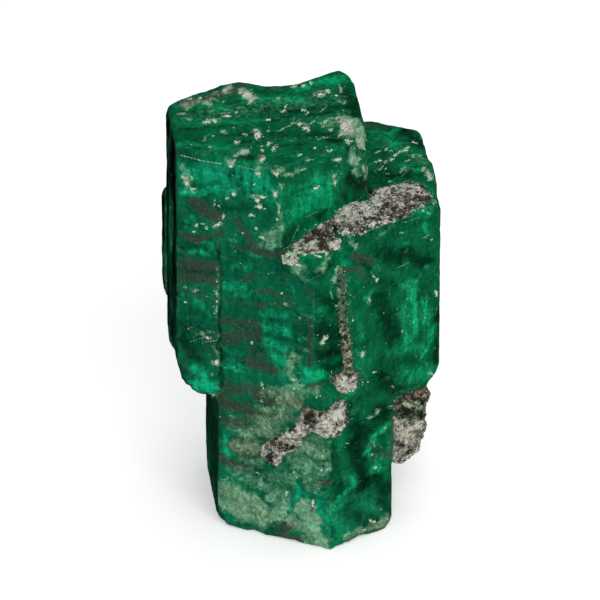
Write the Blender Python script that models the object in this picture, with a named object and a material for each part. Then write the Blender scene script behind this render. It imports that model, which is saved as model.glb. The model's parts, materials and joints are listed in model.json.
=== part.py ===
"""Raw emerald crystal: six-sided beryl prisms grown side by side, with mica schist in their hollows.

Lengths here are millimetres, and MM turns them to metres when a mesh is made. +Z runs up the long
axis that all the prisms share, -Y is the front, and the origin is under the middle of the group,
on the surface that it stands on.
"""

import math
import random
from collections import namedtuple

import bmesh
import bpy
from mathutils import Vector, noise

MM = 0.001
GAP = 0.35  # clearance between the emerald and each piece of schist in it

# Levels up the long axis
CAP_TOP = 58.8  # the flat end of the main prism
SIDE_TOP = 48.3  # the end of the prism at the right
LEDGE = 46.5  # the end of the middle prism, a ledge in front of the main one
SHELF = 25.9  # the step low on the front edge
OUTER_FOOT = 20.6  # the broken lower end of the main and right prisms
ROOT_FOOT = 0.0  # the broken end that the group stands on

# The outward direction of each prism face, in degrees from +X. "back" lies between two of the six.
FACE_DIRECTIONS = {
    "front_left": 246.5,
    "front_right": 306.5,
    "right": 6.5,
    "back_right": 66.5,
    "back": 96.5,
    "back_left": 126.5,
    "left": 186.5,
}

PRISM_TURN = math.radians(60)  # from one prism face to the next

# A prism's faces are listed anticlockwise, each with its distance from the prism's axis.
Prism = namedtuple("Prism", "axis faces foot top")

MAIN = Prism(
    (-4.0, 0.0),
    [
        ("front_left", 13.15),
        ("front_right", 12.67),
        ("right", 12.8),
        ("back_right", 16.95),
        ("back_left", 6.1),
        ("back", 9.6),
        ("back_right", 8.4),
        ("back_left", 12.2),
        ("left", 14.15),
    ],
    OUTER_FOOT,
    CAP_TOP,
)
MIDDLE = Prism(
    (0.0, -4.0),
    [
        ("front_left", 11.3),
        ("front_right", 13.88),
        ("right", 11.95),
        ("back_right", 11.6),
        ("back_left", 16.0),
        ("left", 12.2),
    ],
    ROOT_FOOT,
    LEDGE,
)
SIDE = Prism(
    (12.0, 2.0),
    [
        ("front_left", 17.45),
        ("front_right", 10.85),
        ("right", 6.65),
        ("back_right", 14.3),
        ("back_left", 15.1),
        ("left", 8.7),
    ],
    OUTER_FOOT - 0.2,
    SIDE_TOP,
)
REAR_LEFT = Prism(
    (-15.6, 11.4),
    [
        ("front_left", 3.6),
        ("front_right", 5.6),
        ("right", 4.4),
        ("back_right", 3.2),
        ("back_left", 3.3),
        ("left", 3.8),
    ],
    22.6,
    41.0,
)
REAR = Prism(
    (-1.6, 9.2),
    [
        ("front_left", 5.6),
        ("front_right", 5.2),
        ("right", 5.9),
        ("back_right", 4.7),
        ("back_left", 5.4),
        ("left", 5.0),
    ],
    7.4,
    45.2,
)
# Slim regular prisms, most of which stand a little proud of the big faces as growth steps.
# Each has its axis, the distance of all six faces, its foot and its top.
SLIM = [
    ((-15.0, -1.4), 3.4, 20.9, 56.2),
    ((-8.0, 9.0), 3.1, 27.5, 54.4),
    ((14.9, 4.0), 4.06, 25.2, 47.9),
    ((9.4, 10.6), 4.3, 14.5, 37.4),
    ((-6.8, 4.4), 5.6, 2.6, 24.0),
    ((7.6, -2.2), 4.9, 9.4, 23.0),
]
SIX = ["front_left", "front_right", "right", "back_right", "back_left", "left"]
STEPS = [Prism(axis, [(f, size) for f in SIX], foot, top) for axis, size, foot, top in SLIM]
SHELF_INNER = 11.76  # above the shelf, the middle prism's front right face stands this far in
SHELF_FALL = 0.8  # how steeply the shelf falls outwards
PAST = 3.0  # how far a cutting shape reaches past what it cuts

# A chip or pit is (place, half sizes): a bite that takes material off an edge or a face.
Bite = namedtuple("Bite", "place size")
BITES = [
    # the knocked corner at the right of the cap
    Bite((12.6, -4.6, 60.2), (5.6, 6.6, 5.2)),
    Bite((12.1, -7.2, 55.0), (4.0, 3.2, 5.4)),
    Bite((8.4, -9.4, 60.2), (4.6, 2.2, 2.6)),
    Bite((10.2, 1.6, 60.0), (1.8, 3.0, 1.9)),
    # the cap's front edge and front corner
    Bite((-2.6, -15.6, 59.9), (2.6, 1.7, 1.8)),
    Bite((1.6, -13.6, 60.1), (2.6, 1.8, 1.7)),
    Bite((-7.2, -14.2, 59.9), (3.0, 1.4, 1.5)),
    Bite((-13.4, -11.4, 60.0), (4.0, 1.5, 1.6)),
    Bite((-17.6, -8.6, 59.7), (1.2, 1.9, 1.5)),
    # the cap's back edge
    Bite((-19.2, 4.9, 59.7), (1.3, 1.6, 1.5)),
    Bite((-13.6, 9.6, 60.0), (3.2, 2.0, 1.6)),
    Bite((-7.4, 12.0, 59.9), (1.6, 1.6, 1.8)),
    Bite((-2.6, 11.2, 60.1), (3.4, 1.9, 2.0)),
    Bite((8.4, 14.2, 59.6), (1.5, 1.8, 1.5)),
    Bite((9.6, 8.6, 59.9), (1.3, 2.8, 1.4)),
    # the right prism's end
    Bite((19.9, 3.8, 49.8), (1.6, 4.0, 1.9)),
    Bite((17.9, 16.4, 49.2), (1.8, 2.2, 2.0)),
    Bite((9.6, 20.1, 49.3), (3.6, 2.0, 2.0)),
    # the right prism's lower end
    Bite((21.0, -6.6, 18.7), (3.4, 3.2, 4.4)),
    Bite((19.4, 6.0, 19.0), (1.9, 4.6, 2.6)),
    Bite((12.8, 18.6, 18.8), (5.6, 3.4, 4.8)),
    # the lower end of the main prism
    Bite((-19.3, -4.4, 19.2), (3.5, 7.4, 7.0)),
    Bite((-17.9, -9.4, 19.0), (3.2, 2.8, 3.6)),
    Bite((-19.9, 4.4, 19.6), (2.4, 4.0, 5.4)),
    Bite((-12.4, 11.4, 19.0), (4.4, 2.8, 4.6)),
    Bite((-14.6, 3.4, 18.9), (2.4, 3.2, 2.5)),
    Bite((6.4, 14.8, 18.6), (3.8, 2.6, 4.4)),
    # the root's broken rim
    Bite((-12.2, -11.4, -0.6), (2.6, 2.4, 2.5)),
    Bite((-9.6, -13.4, -0.9), (2.6, 2.2, 2.1)),
    Bite((-7.2, -14.4, -0.7), (2.4, 2.2, 2.3)),
    Bite((-3.2, -16.2, -0.9), (2.8, 1.6, 1.7)),
    Bite((13.6, -11.6, -0.2), (1.8, 2.2, 1.9)),
    Bite((9.2, -15.6, -0.9), (2.8, 1.6, 1.7)),
    Bite((-13.8, -4.6, -0.9), (1.6, 3.4, 1.9)),
    Bite((-13.4, 7.4, 0.2), (3.4, 3.2, 4.4)),
    Bite((-6.6, 12.0, 0.0), (4.6, 2.8, 3.6)),
    Bite((3.4, 8.4, 0.0), (5.4, 2.8, 3.4)),
    Bite((12.8, 0.6, -0.2), (2.2, 4.4, 3.0)),
    # pits and knocks on the big faces
    Bite((-15.2, -10.6, 52.6), (1.3, 0.9, 1.0)),
    Bite((-12.6, -11.9, 44.6), (1.6, 0.8, 0.9)),
    Bite((-5.4, -15.1, 51.4), (1.0, 0.9, 1.2)),
    Bite((-9.2, -13.4, 31.0), (1.9, 0.9, 0.7)),
    Bite((-3.2, -16.2, 39.6), (1.2, 0.8, 1.6)),
    Bite((5.3, -9.5, 56.0), (1.7, 1.3, 1.6)),
    Bite((13.8, -11.7, 37.2), (1.3, 1.2, 2.2)),
    Bite((17.6, -8.9, 28.6), (1.2, 1.0, 1.5)),
    Bite((11.4, -12.9, 13.6), (1.5, 1.3, 1.9)),
    Bite((20.3, 3.2, 34.5), (1.0, 2.2, 3.0)),
    Bite((17.6, 14.4, 30.5), (2.0, 2.6, 2.6)),
    Bite((14.2, 18.2, 36.6), (2.8, 1.5, 3.4)),
    Bite((-3.4, 15.2, 30.8), (2.2, 1.7, 2.8)),
    Bite((-14.6, 8.8, 50.2), (2.8, 1.2, 1.8)),
    Bite((1.4, 12.8, 50.4), (1.6, 1.3, 2.6)),
    Bite((-16.9, 15.6, 33.0), (1.7, 1.5, 2.8)),
    # the ends of the slim prisms at the back
    Bite((-20.1, 9.8, 41.6), (1.5, 2.2, 1.7)),
    Bite((-19.9, 10.4, 22.4), (2.6, 4.2, 4.0)),
    Bite((-4.6, 14.2, 6.8), (4.2, 3.4, 3.4)),
    Bite((-3.4, 15.0, 45.8), (3.0, 2.0, 2.0)),
]
BITE_CORNERS = 24  # how many corners a bite's faceted shape is made from
BITE_JITTER = 0.22  # how far each corner strays, as a share of the half size

# Schist: an outline seen from above or from the front, filled and roughened
GRAIN = 0.75  # side of the squares that a rough surface is made of
BUMPS_PER_MM = 0.45  # the wide bumps; the narrow ones are
NARROWER = 2.7  # this much closer together, and
LOWER = 0.5  # this much of the height
LEDGE_OUTLINE = [
    (-3.0, -14.9),
    (-2.3, -16.2),
    (0.2, -17.2),
    (1.0, -16.9),
    (2.1, -17.0),
    (3.7, -15.8),
    (4.9, -14.8),
    (6.1, -14.7),
    (7.3, -15.1),
    (9.7, -13.2),
    (12.5, -11.1),
    (15.2, -8.9),
    (18.3, -6.5),
    (18.7, -3.8),
    (18.3, -1.4),
    (16.8, 0.7),
    (13.6, 0.5),
    (10.0, -2.6),
    (8.0, -3.6),
    (5.6, -6.6),
    (1.0, -10.4),
    (-2.4, -13.4),
]
# The heap's surface: (x, y, z) places that it passes near
LEDGE_HEIGHTS = [
    (-2.5, -14.7, 46.8),
    (-0.8, -13.4, 46.9),
    (0.3, -12.6, 47.9),
    (2.2, -11.1, 48.4),
    (4.2, -9.7, 48.9),
    (5.6, -8.6, 50.4),
    (6.8, -7.9, 51.0),
    (7.8, -7.1, 49.5),
    (9.6, -5.6, 49.3),
    (10.2, -2.9, 49.3),
    (0.2, -16.0, 47.1),
    (1.9, -16.6, 47.0),
    (4.8, -14.9, 48.0),
    (6.2, -14.5, 49.0),
    (7.2, -15.0, 48.8),
    (9.6, -13.2, 49.0),
    (12.4, -11.1, 49.0),
    (15.2, -8.9, 49.0),
    (18.2, -6.5, 48.9),
    (2.6, -14.2, 48.2),
    (3.6, -12.6, 48.7),
    (6.8, -11.2, 50.1),
    (10.5, -8.0, 50.3),
    (14.0, -5.0, 49.9),
    (16.5, -3.2, 49.6),
    (13.6, 0.3, 49.0),
    (16.8, 0.6, 48.9),
    (18.4, -2.0, 48.9),
]
HEIGHT_BLUR = 0.2  # keeps the surface from peaking at the listed places
LEDGE_DEPTH = 1.5  # how far the heap reaches below the ledge
LEDGE_BUMPS = 0.5
SEAM_OUTLINE = [(4.9, -14.9), (5.6, -15.3), (6.6, -14.9), (6.3, -13.2), (5.2, -13.2)]
SEAM_FOOT, SEAM_TOP = 25.2, 44.4
SEAM_LEAN = 0.085  # how far the strip goes to the right for each step down
SEAM_LEVEL = 39.5  # the height where it lies on its outline
SEAM_SLOPE = 0.6  # how far it comes forward, for each step to the side
SEAM_PAD_OUTLINE = [(4.2, -16.0), (5.6, -17.1), (8.6, -15.2), (8.3, -13.6), (5.0, -13.8)]
SEAM_PAD_FOOT, SEAM_PAD_TOP = 24.0, 27.5
SEAM_GRAIN, SEAM_BUMPS = 0.5, 0.3
# The sloping fracture, drawn on the front left face: distance left of the front edge, and height
FRACTURE_OUTLINE = [
    (-0.7, 24.0),
    (0.0, 23.7),
    (0.9, 22.6),
    (2.1, 22.2),
    (3.2, 22.4),
    (4.4, 21.6),
    (4.9, 20.1),
    (5.6, 18.9),
    (6.9, 18.1),
    (7.8, 16.6),
    (9.2, 15.8),
    (10.4, 14.9),
    (10.5, 13.1),
    (9.8, 12.1),
    (8.4, 11.6),
    (7.3, 12.9),
    (6.9, 13.8),
    (5.6, 14.7),
    (4.6, 16.1),
    (4.0, 17.7),
    (3.5, 18.8),
    (2.7, 19.3),
    (2.0, 18.9),
    (0.6, 18.8),
    (-0.5, 18.1),
    (-1.0, 18.7),
    (-1.5, 20.0),
    (-1.2, 22.0),
]
FRACTURE_DEPTH = 2.6
FRACTURE_GRAIN, FRACTURE_BUMPS = 0.65, 0.3
FRACTURE_EDGE_REACH = 2.0  # how far to each side of the front edge the filling bulges
FRACTURE_STANDS = 0.25  # how far the fracture's filling stands out of the face
FRACTURE_EDGE_STANDS = 0.6  # how much more it stands out at the front edge
LUMP_OUTLINE = [
    (12.2, -11.2),
    (14.2, -10.4),
    (18.0, -7.6),
    (17.9, -2.8),
    (16.2, 2.2),
    (13.4, 5.4),
    (10.4, 4.6),
    (10.8, -4.0),
]
LUMP_FOOT, LUMP_TOP = 8.6, 20.9
LUMP_TAPER = 0.74  # how much narrower the lump is at its foot
LUMP_BUMPS = 0.8

EMERALD_GREEN = (0.004, 0.14, 0.07, 1.0)
EMERALD_ROUGHNESS = 0.3
SCHIST_GREY = (0.30, 0.27, 0.23, 1.0)
SCHIST_ROUGHNESS = 0.6


def clear_scene():
    for old in list(bpy.data.objects):
        bpy.data.objects.remove(old, do_unlink=True)


def dress(thing, colour, roughness):
    """Gives an object a plain material of its own."""
    made = bpy.data.materials.new(thing.name + "_stone")
    made.use_nodes = True
    shader = made.node_tree.nodes["Principled BSDF"]
    shader.inputs["Base Color"].default_value = colour
    shader.inputs["Roughness"].default_value = roughness
    shader.inputs["Metallic"].default_value = 0.0
    thing.data.materials.clear()
    thing.data.materials.append(made)


def direction(face):
    angle = math.radians(FACE_DIRECTIONS[face])
    return Vector((math.cos(angle), math.sin(angle)))


def crossing(first, second):
    """The point where two face lines meet, each given as its direction and its distance."""
    (a, p), (b, q) = first, second
    area = a.x * b.y - a.y * b.x
    return Vector(((p * b.y - q * a.y) / area, (q * a.x - p * b.x) / area))


def outline_of(axis, faces):
    """The corners of a prism seen from above."""
    lines = [(direction(face), distance) for face, distance in faces]
    return [Vector(axis) + crossing(lines[i - 1], lines[i]) for i in range(len(lines))]


def object_from(name, mesh_edit):
    """A new object from a bmesh in millimetres."""
    bmesh.ops.recalc_face_normals(mesh_edit, faces=mesh_edit.faces)
    bmesh.ops.scale(mesh_edit, vec=(MM, MM, MM), verts=mesh_edit.verts)
    mesh = bpy.data.meshes.new(name)
    mesh_edit.to_mesh(mesh)
    mesh_edit.free()
    made = bpy.data.objects.new(name, mesh)
    bpy.context.scene.collection.objects.link(made)
    return made


def column(name, outline, foot, top, foot_scale=1.0):
    """A straight-sided solid on an outline. foot_scale draws its lower end in towards its middle."""
    mesh_edit = bmesh.new()
    middle = sum((Vector(p) for p in outline), Vector((0, 0))) / len(outline)
    lower = [middle + (Vector(p) - middle) * foot_scale for p in outline]
    below = [mesh_edit.verts.new((p.x, p.y, foot)) for p in lower]
    above = [mesh_edit.verts.new((p[0], p[1], top)) for p in outline]
    mesh_edit.faces.new(below)
    mesh_edit.faces.new(above)
    for i in range(len(outline)):
        mesh_edit.faces.new((below[i - 1], below[i], above[i], above[i - 1]))
    return object_from(name, mesh_edit)


def prism(name, crystal):
    return column(name, outline_of(crystal.axis, crystal.faces), crystal.foot, crystal.top)


def apply_modifiers(thing):
    """Replaces an object's mesh by what its modifiers make of it."""
    graph = bpy.context.evaluated_depsgraph_get()
    mesh = bpy.data.meshes.new_from_object(thing.evaluated_get(graph))
    thing.modifiers.clear()
    thing.data = mesh


def combine(target, tool, operation):
    """Joins or cuts target with tool, and deletes tool."""
    change = target.modifiers.new(operation, "BOOLEAN")
    change.operation = operation
    change.solver = "EXACT"
    change.object = tool
    apply_modifiers(target)
    bpy.data.objects.remove(tool, do_unlink=True)


def keep_largest(thing):
    """Deletes crumbs that a cut left loose."""
    mesh_edit = bmesh.new()
    mesh_edit.from_mesh(thing.data)
    unseen = set(mesh_edit.verts)
    islands = []
    while unseen:
        island, front = set(), [unseen.pop()]
        while front:
            vert = front.pop()
            island.add(vert)
            for edge in vert.link_edges:
                other = edge.other_vert(vert)
                if other in unseen:
                    unseen.remove(other)
                    front.append(other)
        islands.append(island)
    islands.sort(key=len)
    crumbs = [vert for island in islands[:-1] for vert in island]
    bmesh.ops.delete(mesh_edit, geom=crumbs, context="VERTS")
    mesh_edit.to_mesh(thing.data)
    mesh_edit.free()


def bite_tool(bite, seed):
    """A faceted pebble, the hull of points spread unevenly over an ellipsoid."""
    draw = random.Random(seed)
    golden = math.pi * (3 - math.sqrt(5))
    mesh_edit = bmesh.new()
    for i in range(BITE_CORNERS):
        height = 1 - (2 * i + 1) / BITE_CORNERS
        turn = golden * i + seed
        ring = math.sqrt(1 - height * height)
        point = Vector((ring * math.cos(turn), ring * math.sin(turn), height))
        point += Vector([draw.uniform(-BITE_JITTER, BITE_JITTER) for _ in range(3)])
        mesh_edit.verts.new([c + p * r for c, p, r in zip(bite.place, point, bite.size)])
    hull = bmesh.ops.convex_hull(mesh_edit, input=mesh_edit.verts)
    spare = [item for item in hull["geom_interior"] if isinstance(item, bmesh.types.BMVert)]
    bmesh.ops.delete(mesh_edit, geom=spare, context="VERTS")
    return object_from("bite", mesh_edit)


def shelf_tool(gap):
    """Takes the front corner off the middle prism above the shelf."""
    inner = SHELF_INNER + gap
    past = [(face, distance + PAST) for face, distance in MIDDLE.faces[:3]]
    outline = outline_of(MIDDLE.axis, [*past, ("back_left", -inner)])
    tool = column("shelf", outline, SHELF + gap, LEDGE + PAST)
    out = direction("front_right")
    for vert in tool.data.vertices:
        if vert.co.z < LEDGE * MM:
            beyond = (vert.co.xy / MM - Vector(MIDDLE.axis)).dot(out) - inner
            vert.co.z -= max(beyond, 0) * SHELF_FALL * MM
    return tool


def squares(thing, side):
    """Remakes an object as a closed skin of small squares."""
    remesh = thing.modifiers.new("remesh", "REMESH")
    remesh.mode = "VOXEL"
    remesh.voxel_size = side * MM
    apply_modifiers(thing)


def roughen(thing, grain, height, seed):
    """Makes an object a skin of small squares with bumps."""
    squares(thing, grain)
    noise.seed_set(seed)
    shift = Vector((seed * 7.3, seed * 3.1, seed * 5.7))
    for vert in thing.data.vertices:
        place = vert.co / MM * BUMPS_PER_MM
        wide = noise.noise_vector(place + shift) * height
        narrow = noise.noise_vector(place * NARROWER + shift) * height * LOWER
        vert.co += (wide + narrow) * MM


def ledge_surface(x, y):
    """The height of the schist heap at a place: a mean of its listed heights, the near ones most."""
    total = 0
    weights = 0
    for px, py, height in LEDGE_HEIGHTS:
        weight = 1 / (math.hypot(x - px, y - py) ** 3 + HEIGHT_BLUR)
        total += weight * height
        weights += weight
    return total / weights


def schist_on_ledge():
    """The heap that lies on the ledge and on the right prism's end, against the main prism."""
    foot = LEDGE - LEDGE_DEPTH
    heap = column("schist_on_ledge", LEDGE_OUTLINE, foot, LEDGE)
    squares(heap, GRAIN)
    for vert in heap.data.vertices:
        x, y, z = vert.co / MM
        if z > LEDGE - LEDGE_DEPTH / 2:
            vert.co.z = ledge_surface(x, y) * MM
    roughen(heap, GRAIN, LEDGE_BUMPS, 1)
    return heap


def schist_in_seam():
    """The strip in the groove between the middle and right prisms, and the pad at its foot."""
    strip = column("schist_in_seam", SEAM_OUTLINE, SEAM_FOOT, SEAM_TOP)
    for vert in strip.data.vertices:
        aside = (SEAM_LEVEL * MM - vert.co.z) * SEAM_LEAN
        vert.co.x += aside
        vert.co.y -= abs(aside) * SEAM_SLOPE
    pad = column("pad", SEAM_PAD_OUTLINE, SEAM_PAD_FOOT, SEAM_PAD_TOP)
    combine(strip, pad, "UNION")
    roughen(strip, SEAM_GRAIN, SEAM_BUMPS, 2)
    return strip


def fracture_place(left, height, out):
    """A point on the front left face: left of the front edge, up the face, and out of it."""
    edge = outline_of(MIDDLE.axis, MIDDLE.faces)[1]
    along = direction("front_left").orthogonal()
    if along.x > 0:
        along = -along
    spot = edge + along * left + direction("front_left") * out
    return (spot.x, spot.y, height)


def schist_in_fracture():
    """The filling of the fracture that slopes across the root's front left face to its front edge."""
    mesh_edit = bmesh.new()
    fronts = []
    backs = []
    for left, height in FRACTURE_OUTLINE:
        # past the front edge the emerald's surface turns back, and the filling turns with it
        bend = min(left, 0.0) * math.tan(PRISM_TURN)
        edge = max(1 - abs(left) / FRACTURE_EDGE_REACH, 0) * FRACTURE_EDGE_STANDS
        out = FRACTURE_STANDS + edge + bend
        fronts.append(mesh_edit.verts.new(fracture_place(left, height, out)))
        backs.append(mesh_edit.verts.new(fracture_place(left, height, bend - FRACTURE_DEPTH)))
    mesh_edit.faces.new(fronts)
    mesh_edit.faces.new(backs)
    for i in range(len(fronts)):
        mesh_edit.faces.new((fronts[i - 1], fronts[i], backs[i], backs[i - 1]))
    bmesh.ops.triangulate(mesh_edit, faces=mesh_edit.faces)
    filling = object_from("schist_in_fracture", mesh_edit)
    roughen(filling, FRACTURE_GRAIN, FRACTURE_BUMPS, 3)
    keep_largest(filling)
    return filling


def schist_lump():
    """The lump that hangs under the right prism, against the root."""
    lump = column("schist_lump", LUMP_OUTLINE, LUMP_FOOT, LUMP_TOP, LUMP_TAPER)
    roughen(lump, GRAIN, LUMP_BUMPS, 4)
    return lump


def grown_copy(thing):
    """The thing's shape grown by the gap, to cut its bed in the emerald."""
    tool = thing.copy()
    tool.data = thing.data.copy()
    bpy.context.scene.collection.objects.link(tool)
    normals = [vert.normal.copy() for vert in tool.data.vertices]
    for vert, normal in zip(tool.data.vertices, normals):
        vert.co += normal * GAP * MM
    return tool


def grown_prism(crystal, gap):
    faces = [(face, distance + gap) for face, distance in crystal.faces]
    return Prism(crystal.axis, faces, crystal.foot - gap, crystal.top + gap)


def cluster(name, gap):
    """All the prisms joined, each grown by gap on every side."""
    joined = prism(name, grown_prism(MIDDLE, gap))
    combine(joined, shelf_tool(gap), "DIFFERENCE")
    for other in [MAIN, SIDE, REAR_LEFT, REAR, *STEPS]:
        combine(joined, prism("other", grown_prism(other, gap)), "UNION")
    return joined


def emerald(filling):
    """The prisms as one solid, with their chips and pits and the fracture's bed."""
    crystal = cluster("emerald_crystals", 0.0)
    for seed, bite in enumerate(BITES):
        combine(crystal, bite_tool(bite, seed), "DIFFERENCE")
    combine(crystal, grown_copy(filling), "DIFFERENCE")
    keep_largest(crystal)
    return crystal


def clear_of_emerald(schist):
    """Takes off what would run into the emerald, less the gap."""
    combine(schist, cluster("grown", GAP), "DIFFERENCE")
    keep_largest(schist)
    return schist


def main():
    clear_scene()
    filling = schist_in_fracture()
    dress(emerald(filling), EMERALD_GREEN, EMERALD_ROUGHNESS)
    dress(filling, SCHIST_GREY, SCHIST_ROUGHNESS)
    for schist in [schist_on_ledge(), schist_in_seam(), schist_lump()]:
        dress(clear_of_emerald(schist), SCHIST_GREY, SCHIST_ROUGHNESS)


main()
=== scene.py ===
"""Raw emerald crystal group with mica schist, dressed on its fixed frame.

The crystals get chipped edges, pits and growth lines, zones of colour partly painted as sheen and shade,
and mica flecks.
The schist gets its grain and its loose plates of mica.
"""

import json
import math

import bmesh
import bpy
import numpy as np
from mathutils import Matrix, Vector
from mathutils.bvhtree import BVHTree
from mathutils.kdtree import KDTree

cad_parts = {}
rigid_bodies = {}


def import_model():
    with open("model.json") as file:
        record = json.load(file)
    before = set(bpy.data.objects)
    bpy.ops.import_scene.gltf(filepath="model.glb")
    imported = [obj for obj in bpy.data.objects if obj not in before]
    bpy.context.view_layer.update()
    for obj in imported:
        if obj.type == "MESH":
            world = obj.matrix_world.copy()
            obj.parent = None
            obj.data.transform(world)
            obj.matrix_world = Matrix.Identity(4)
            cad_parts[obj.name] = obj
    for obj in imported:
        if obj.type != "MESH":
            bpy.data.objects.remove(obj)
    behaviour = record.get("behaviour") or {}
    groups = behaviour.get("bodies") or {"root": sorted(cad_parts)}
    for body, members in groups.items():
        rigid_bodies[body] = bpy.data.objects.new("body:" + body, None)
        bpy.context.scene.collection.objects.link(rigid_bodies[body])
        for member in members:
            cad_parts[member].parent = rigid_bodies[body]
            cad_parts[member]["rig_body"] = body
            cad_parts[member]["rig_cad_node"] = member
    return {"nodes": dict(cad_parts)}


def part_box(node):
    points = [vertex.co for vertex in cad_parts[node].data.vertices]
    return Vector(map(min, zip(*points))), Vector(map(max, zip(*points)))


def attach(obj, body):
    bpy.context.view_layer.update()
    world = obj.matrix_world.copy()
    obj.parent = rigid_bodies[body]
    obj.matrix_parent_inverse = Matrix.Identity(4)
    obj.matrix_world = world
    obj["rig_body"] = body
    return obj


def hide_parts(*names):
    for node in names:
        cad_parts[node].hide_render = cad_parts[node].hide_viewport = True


bl_info = {
    "name": "Raw Emerald Crystal Dresser",
    "version": (1, 0, 0),
    "blender": (4, 5, 0),
    "location": "View3D > Sidebar > Emerald",
    "description": "Dresses a group of raw emerald crystals and the mica schist grown into them",
    "category": "Object",
}

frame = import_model()
MM = 0.001
FOOT, CROWN = (corner.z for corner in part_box("emerald_crystals"))
SCHIST_NODES = ("schist_on_ledge", "schist_in_seam", "schist_in_fracture", "schist_lump")
SHOWN_KINDS = ("bright", "dark", "brown", "pale", "white", "fleck")

# the camera's frame in its own units, and its sensor in millimetres
FRAME_WIDTH = 600.0
SENSOR_WIDTH = 36.0

# the crystals' mesh: how edges and worn corners are smoothed, and how it meets the schist
MERGE_DISTANCE = 1e-6
SNAP_SHARE = 0.55
EDGE_SMOOTHING, EDGE_ROUNDS = 0.6, 9
CORNER_SMOOTHING, CORNER_ROUNDS = 0.8, 24
SMOOTH_ANGLE = math.radians(28)
HUG_REACH = 1.0 * MM
HUG_GAP = 0.4 * MM
HUG_DEPTH = 1.1

# the mica flakes on the crystals
BLOTCH_FLAKE_THICKNESS = 0.07 * MM
SLIVER_THICKNESS = 0.05 * MM
LONGEST_SLIVER = 3 * MM
SLIVERS_IN_SCRATCH = 6
RIM_WIDTH = 1.0 * MM
COMMON_CHANCE, ZONE_CHANCE, RIM_CHANCE = 0.002, 0.12, 0.3

# the schist's grains and plates
GRAIN_SIZE, GRAIN_HEIGHT = 0.6 * MM, 0.12 * MM
SMALL_GRAIN_SIZE, SMALL_GRAIN_HEIGHT = 0.3 * MM, 0.06 * MM
LUMP_SIZE, LUMP_HEIGHT = 1.6 * MM, 0.14 * MM
DIM_SIZE = 1.5 * MM
PLATE_THICKNESS = 0.09 * MM
PLATE_TONES = (0.42, 0.24, -0.06, -0.4)
PLATE_SHARES = (0.24, 0.24, 0.28, 0.24)

# The studio's lights: name, place, size, the setting that holds its power.
LIGHTS = (
    ("key_light", (0.12, -0.42, 0.42), 0.34, "key_power"),
    ("top_light", (0.05, 0.12, 0.6), 0.4, "top_power"),
)
FLOOR_RADIUS = 6.0
FLOOR_ROUGHNESS = 0.8

# the random draws
HIDDEN_STROKES = 230
ZONE_SEED = 11
FLECK_SEED = 5
FIRST_SCHIST_SEED = 100

# The crystals' relief: where it lies, its height in millimetres, the size of its forms, the seed
# of its first layer, how many layers.
RELIEF = (
    ("all", 0.05, 3.6 * MM, 1, 2),
    ("all", 0.035, 1.0 * MM, 5, 2),
    ("sides", 0.04, (0.75 * MM, 0.75 * MM, 14 * MM), 9, 1),
    ("tops", 0.06, (3.0 * MM, 1.0 * MM, 3 * MM), 12, 1),
    ("broken", 0.16, 1.5 * MM, 15, 3),
    ("pale", 0.06, 0.8 * MM, 19, 2),
)
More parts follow.
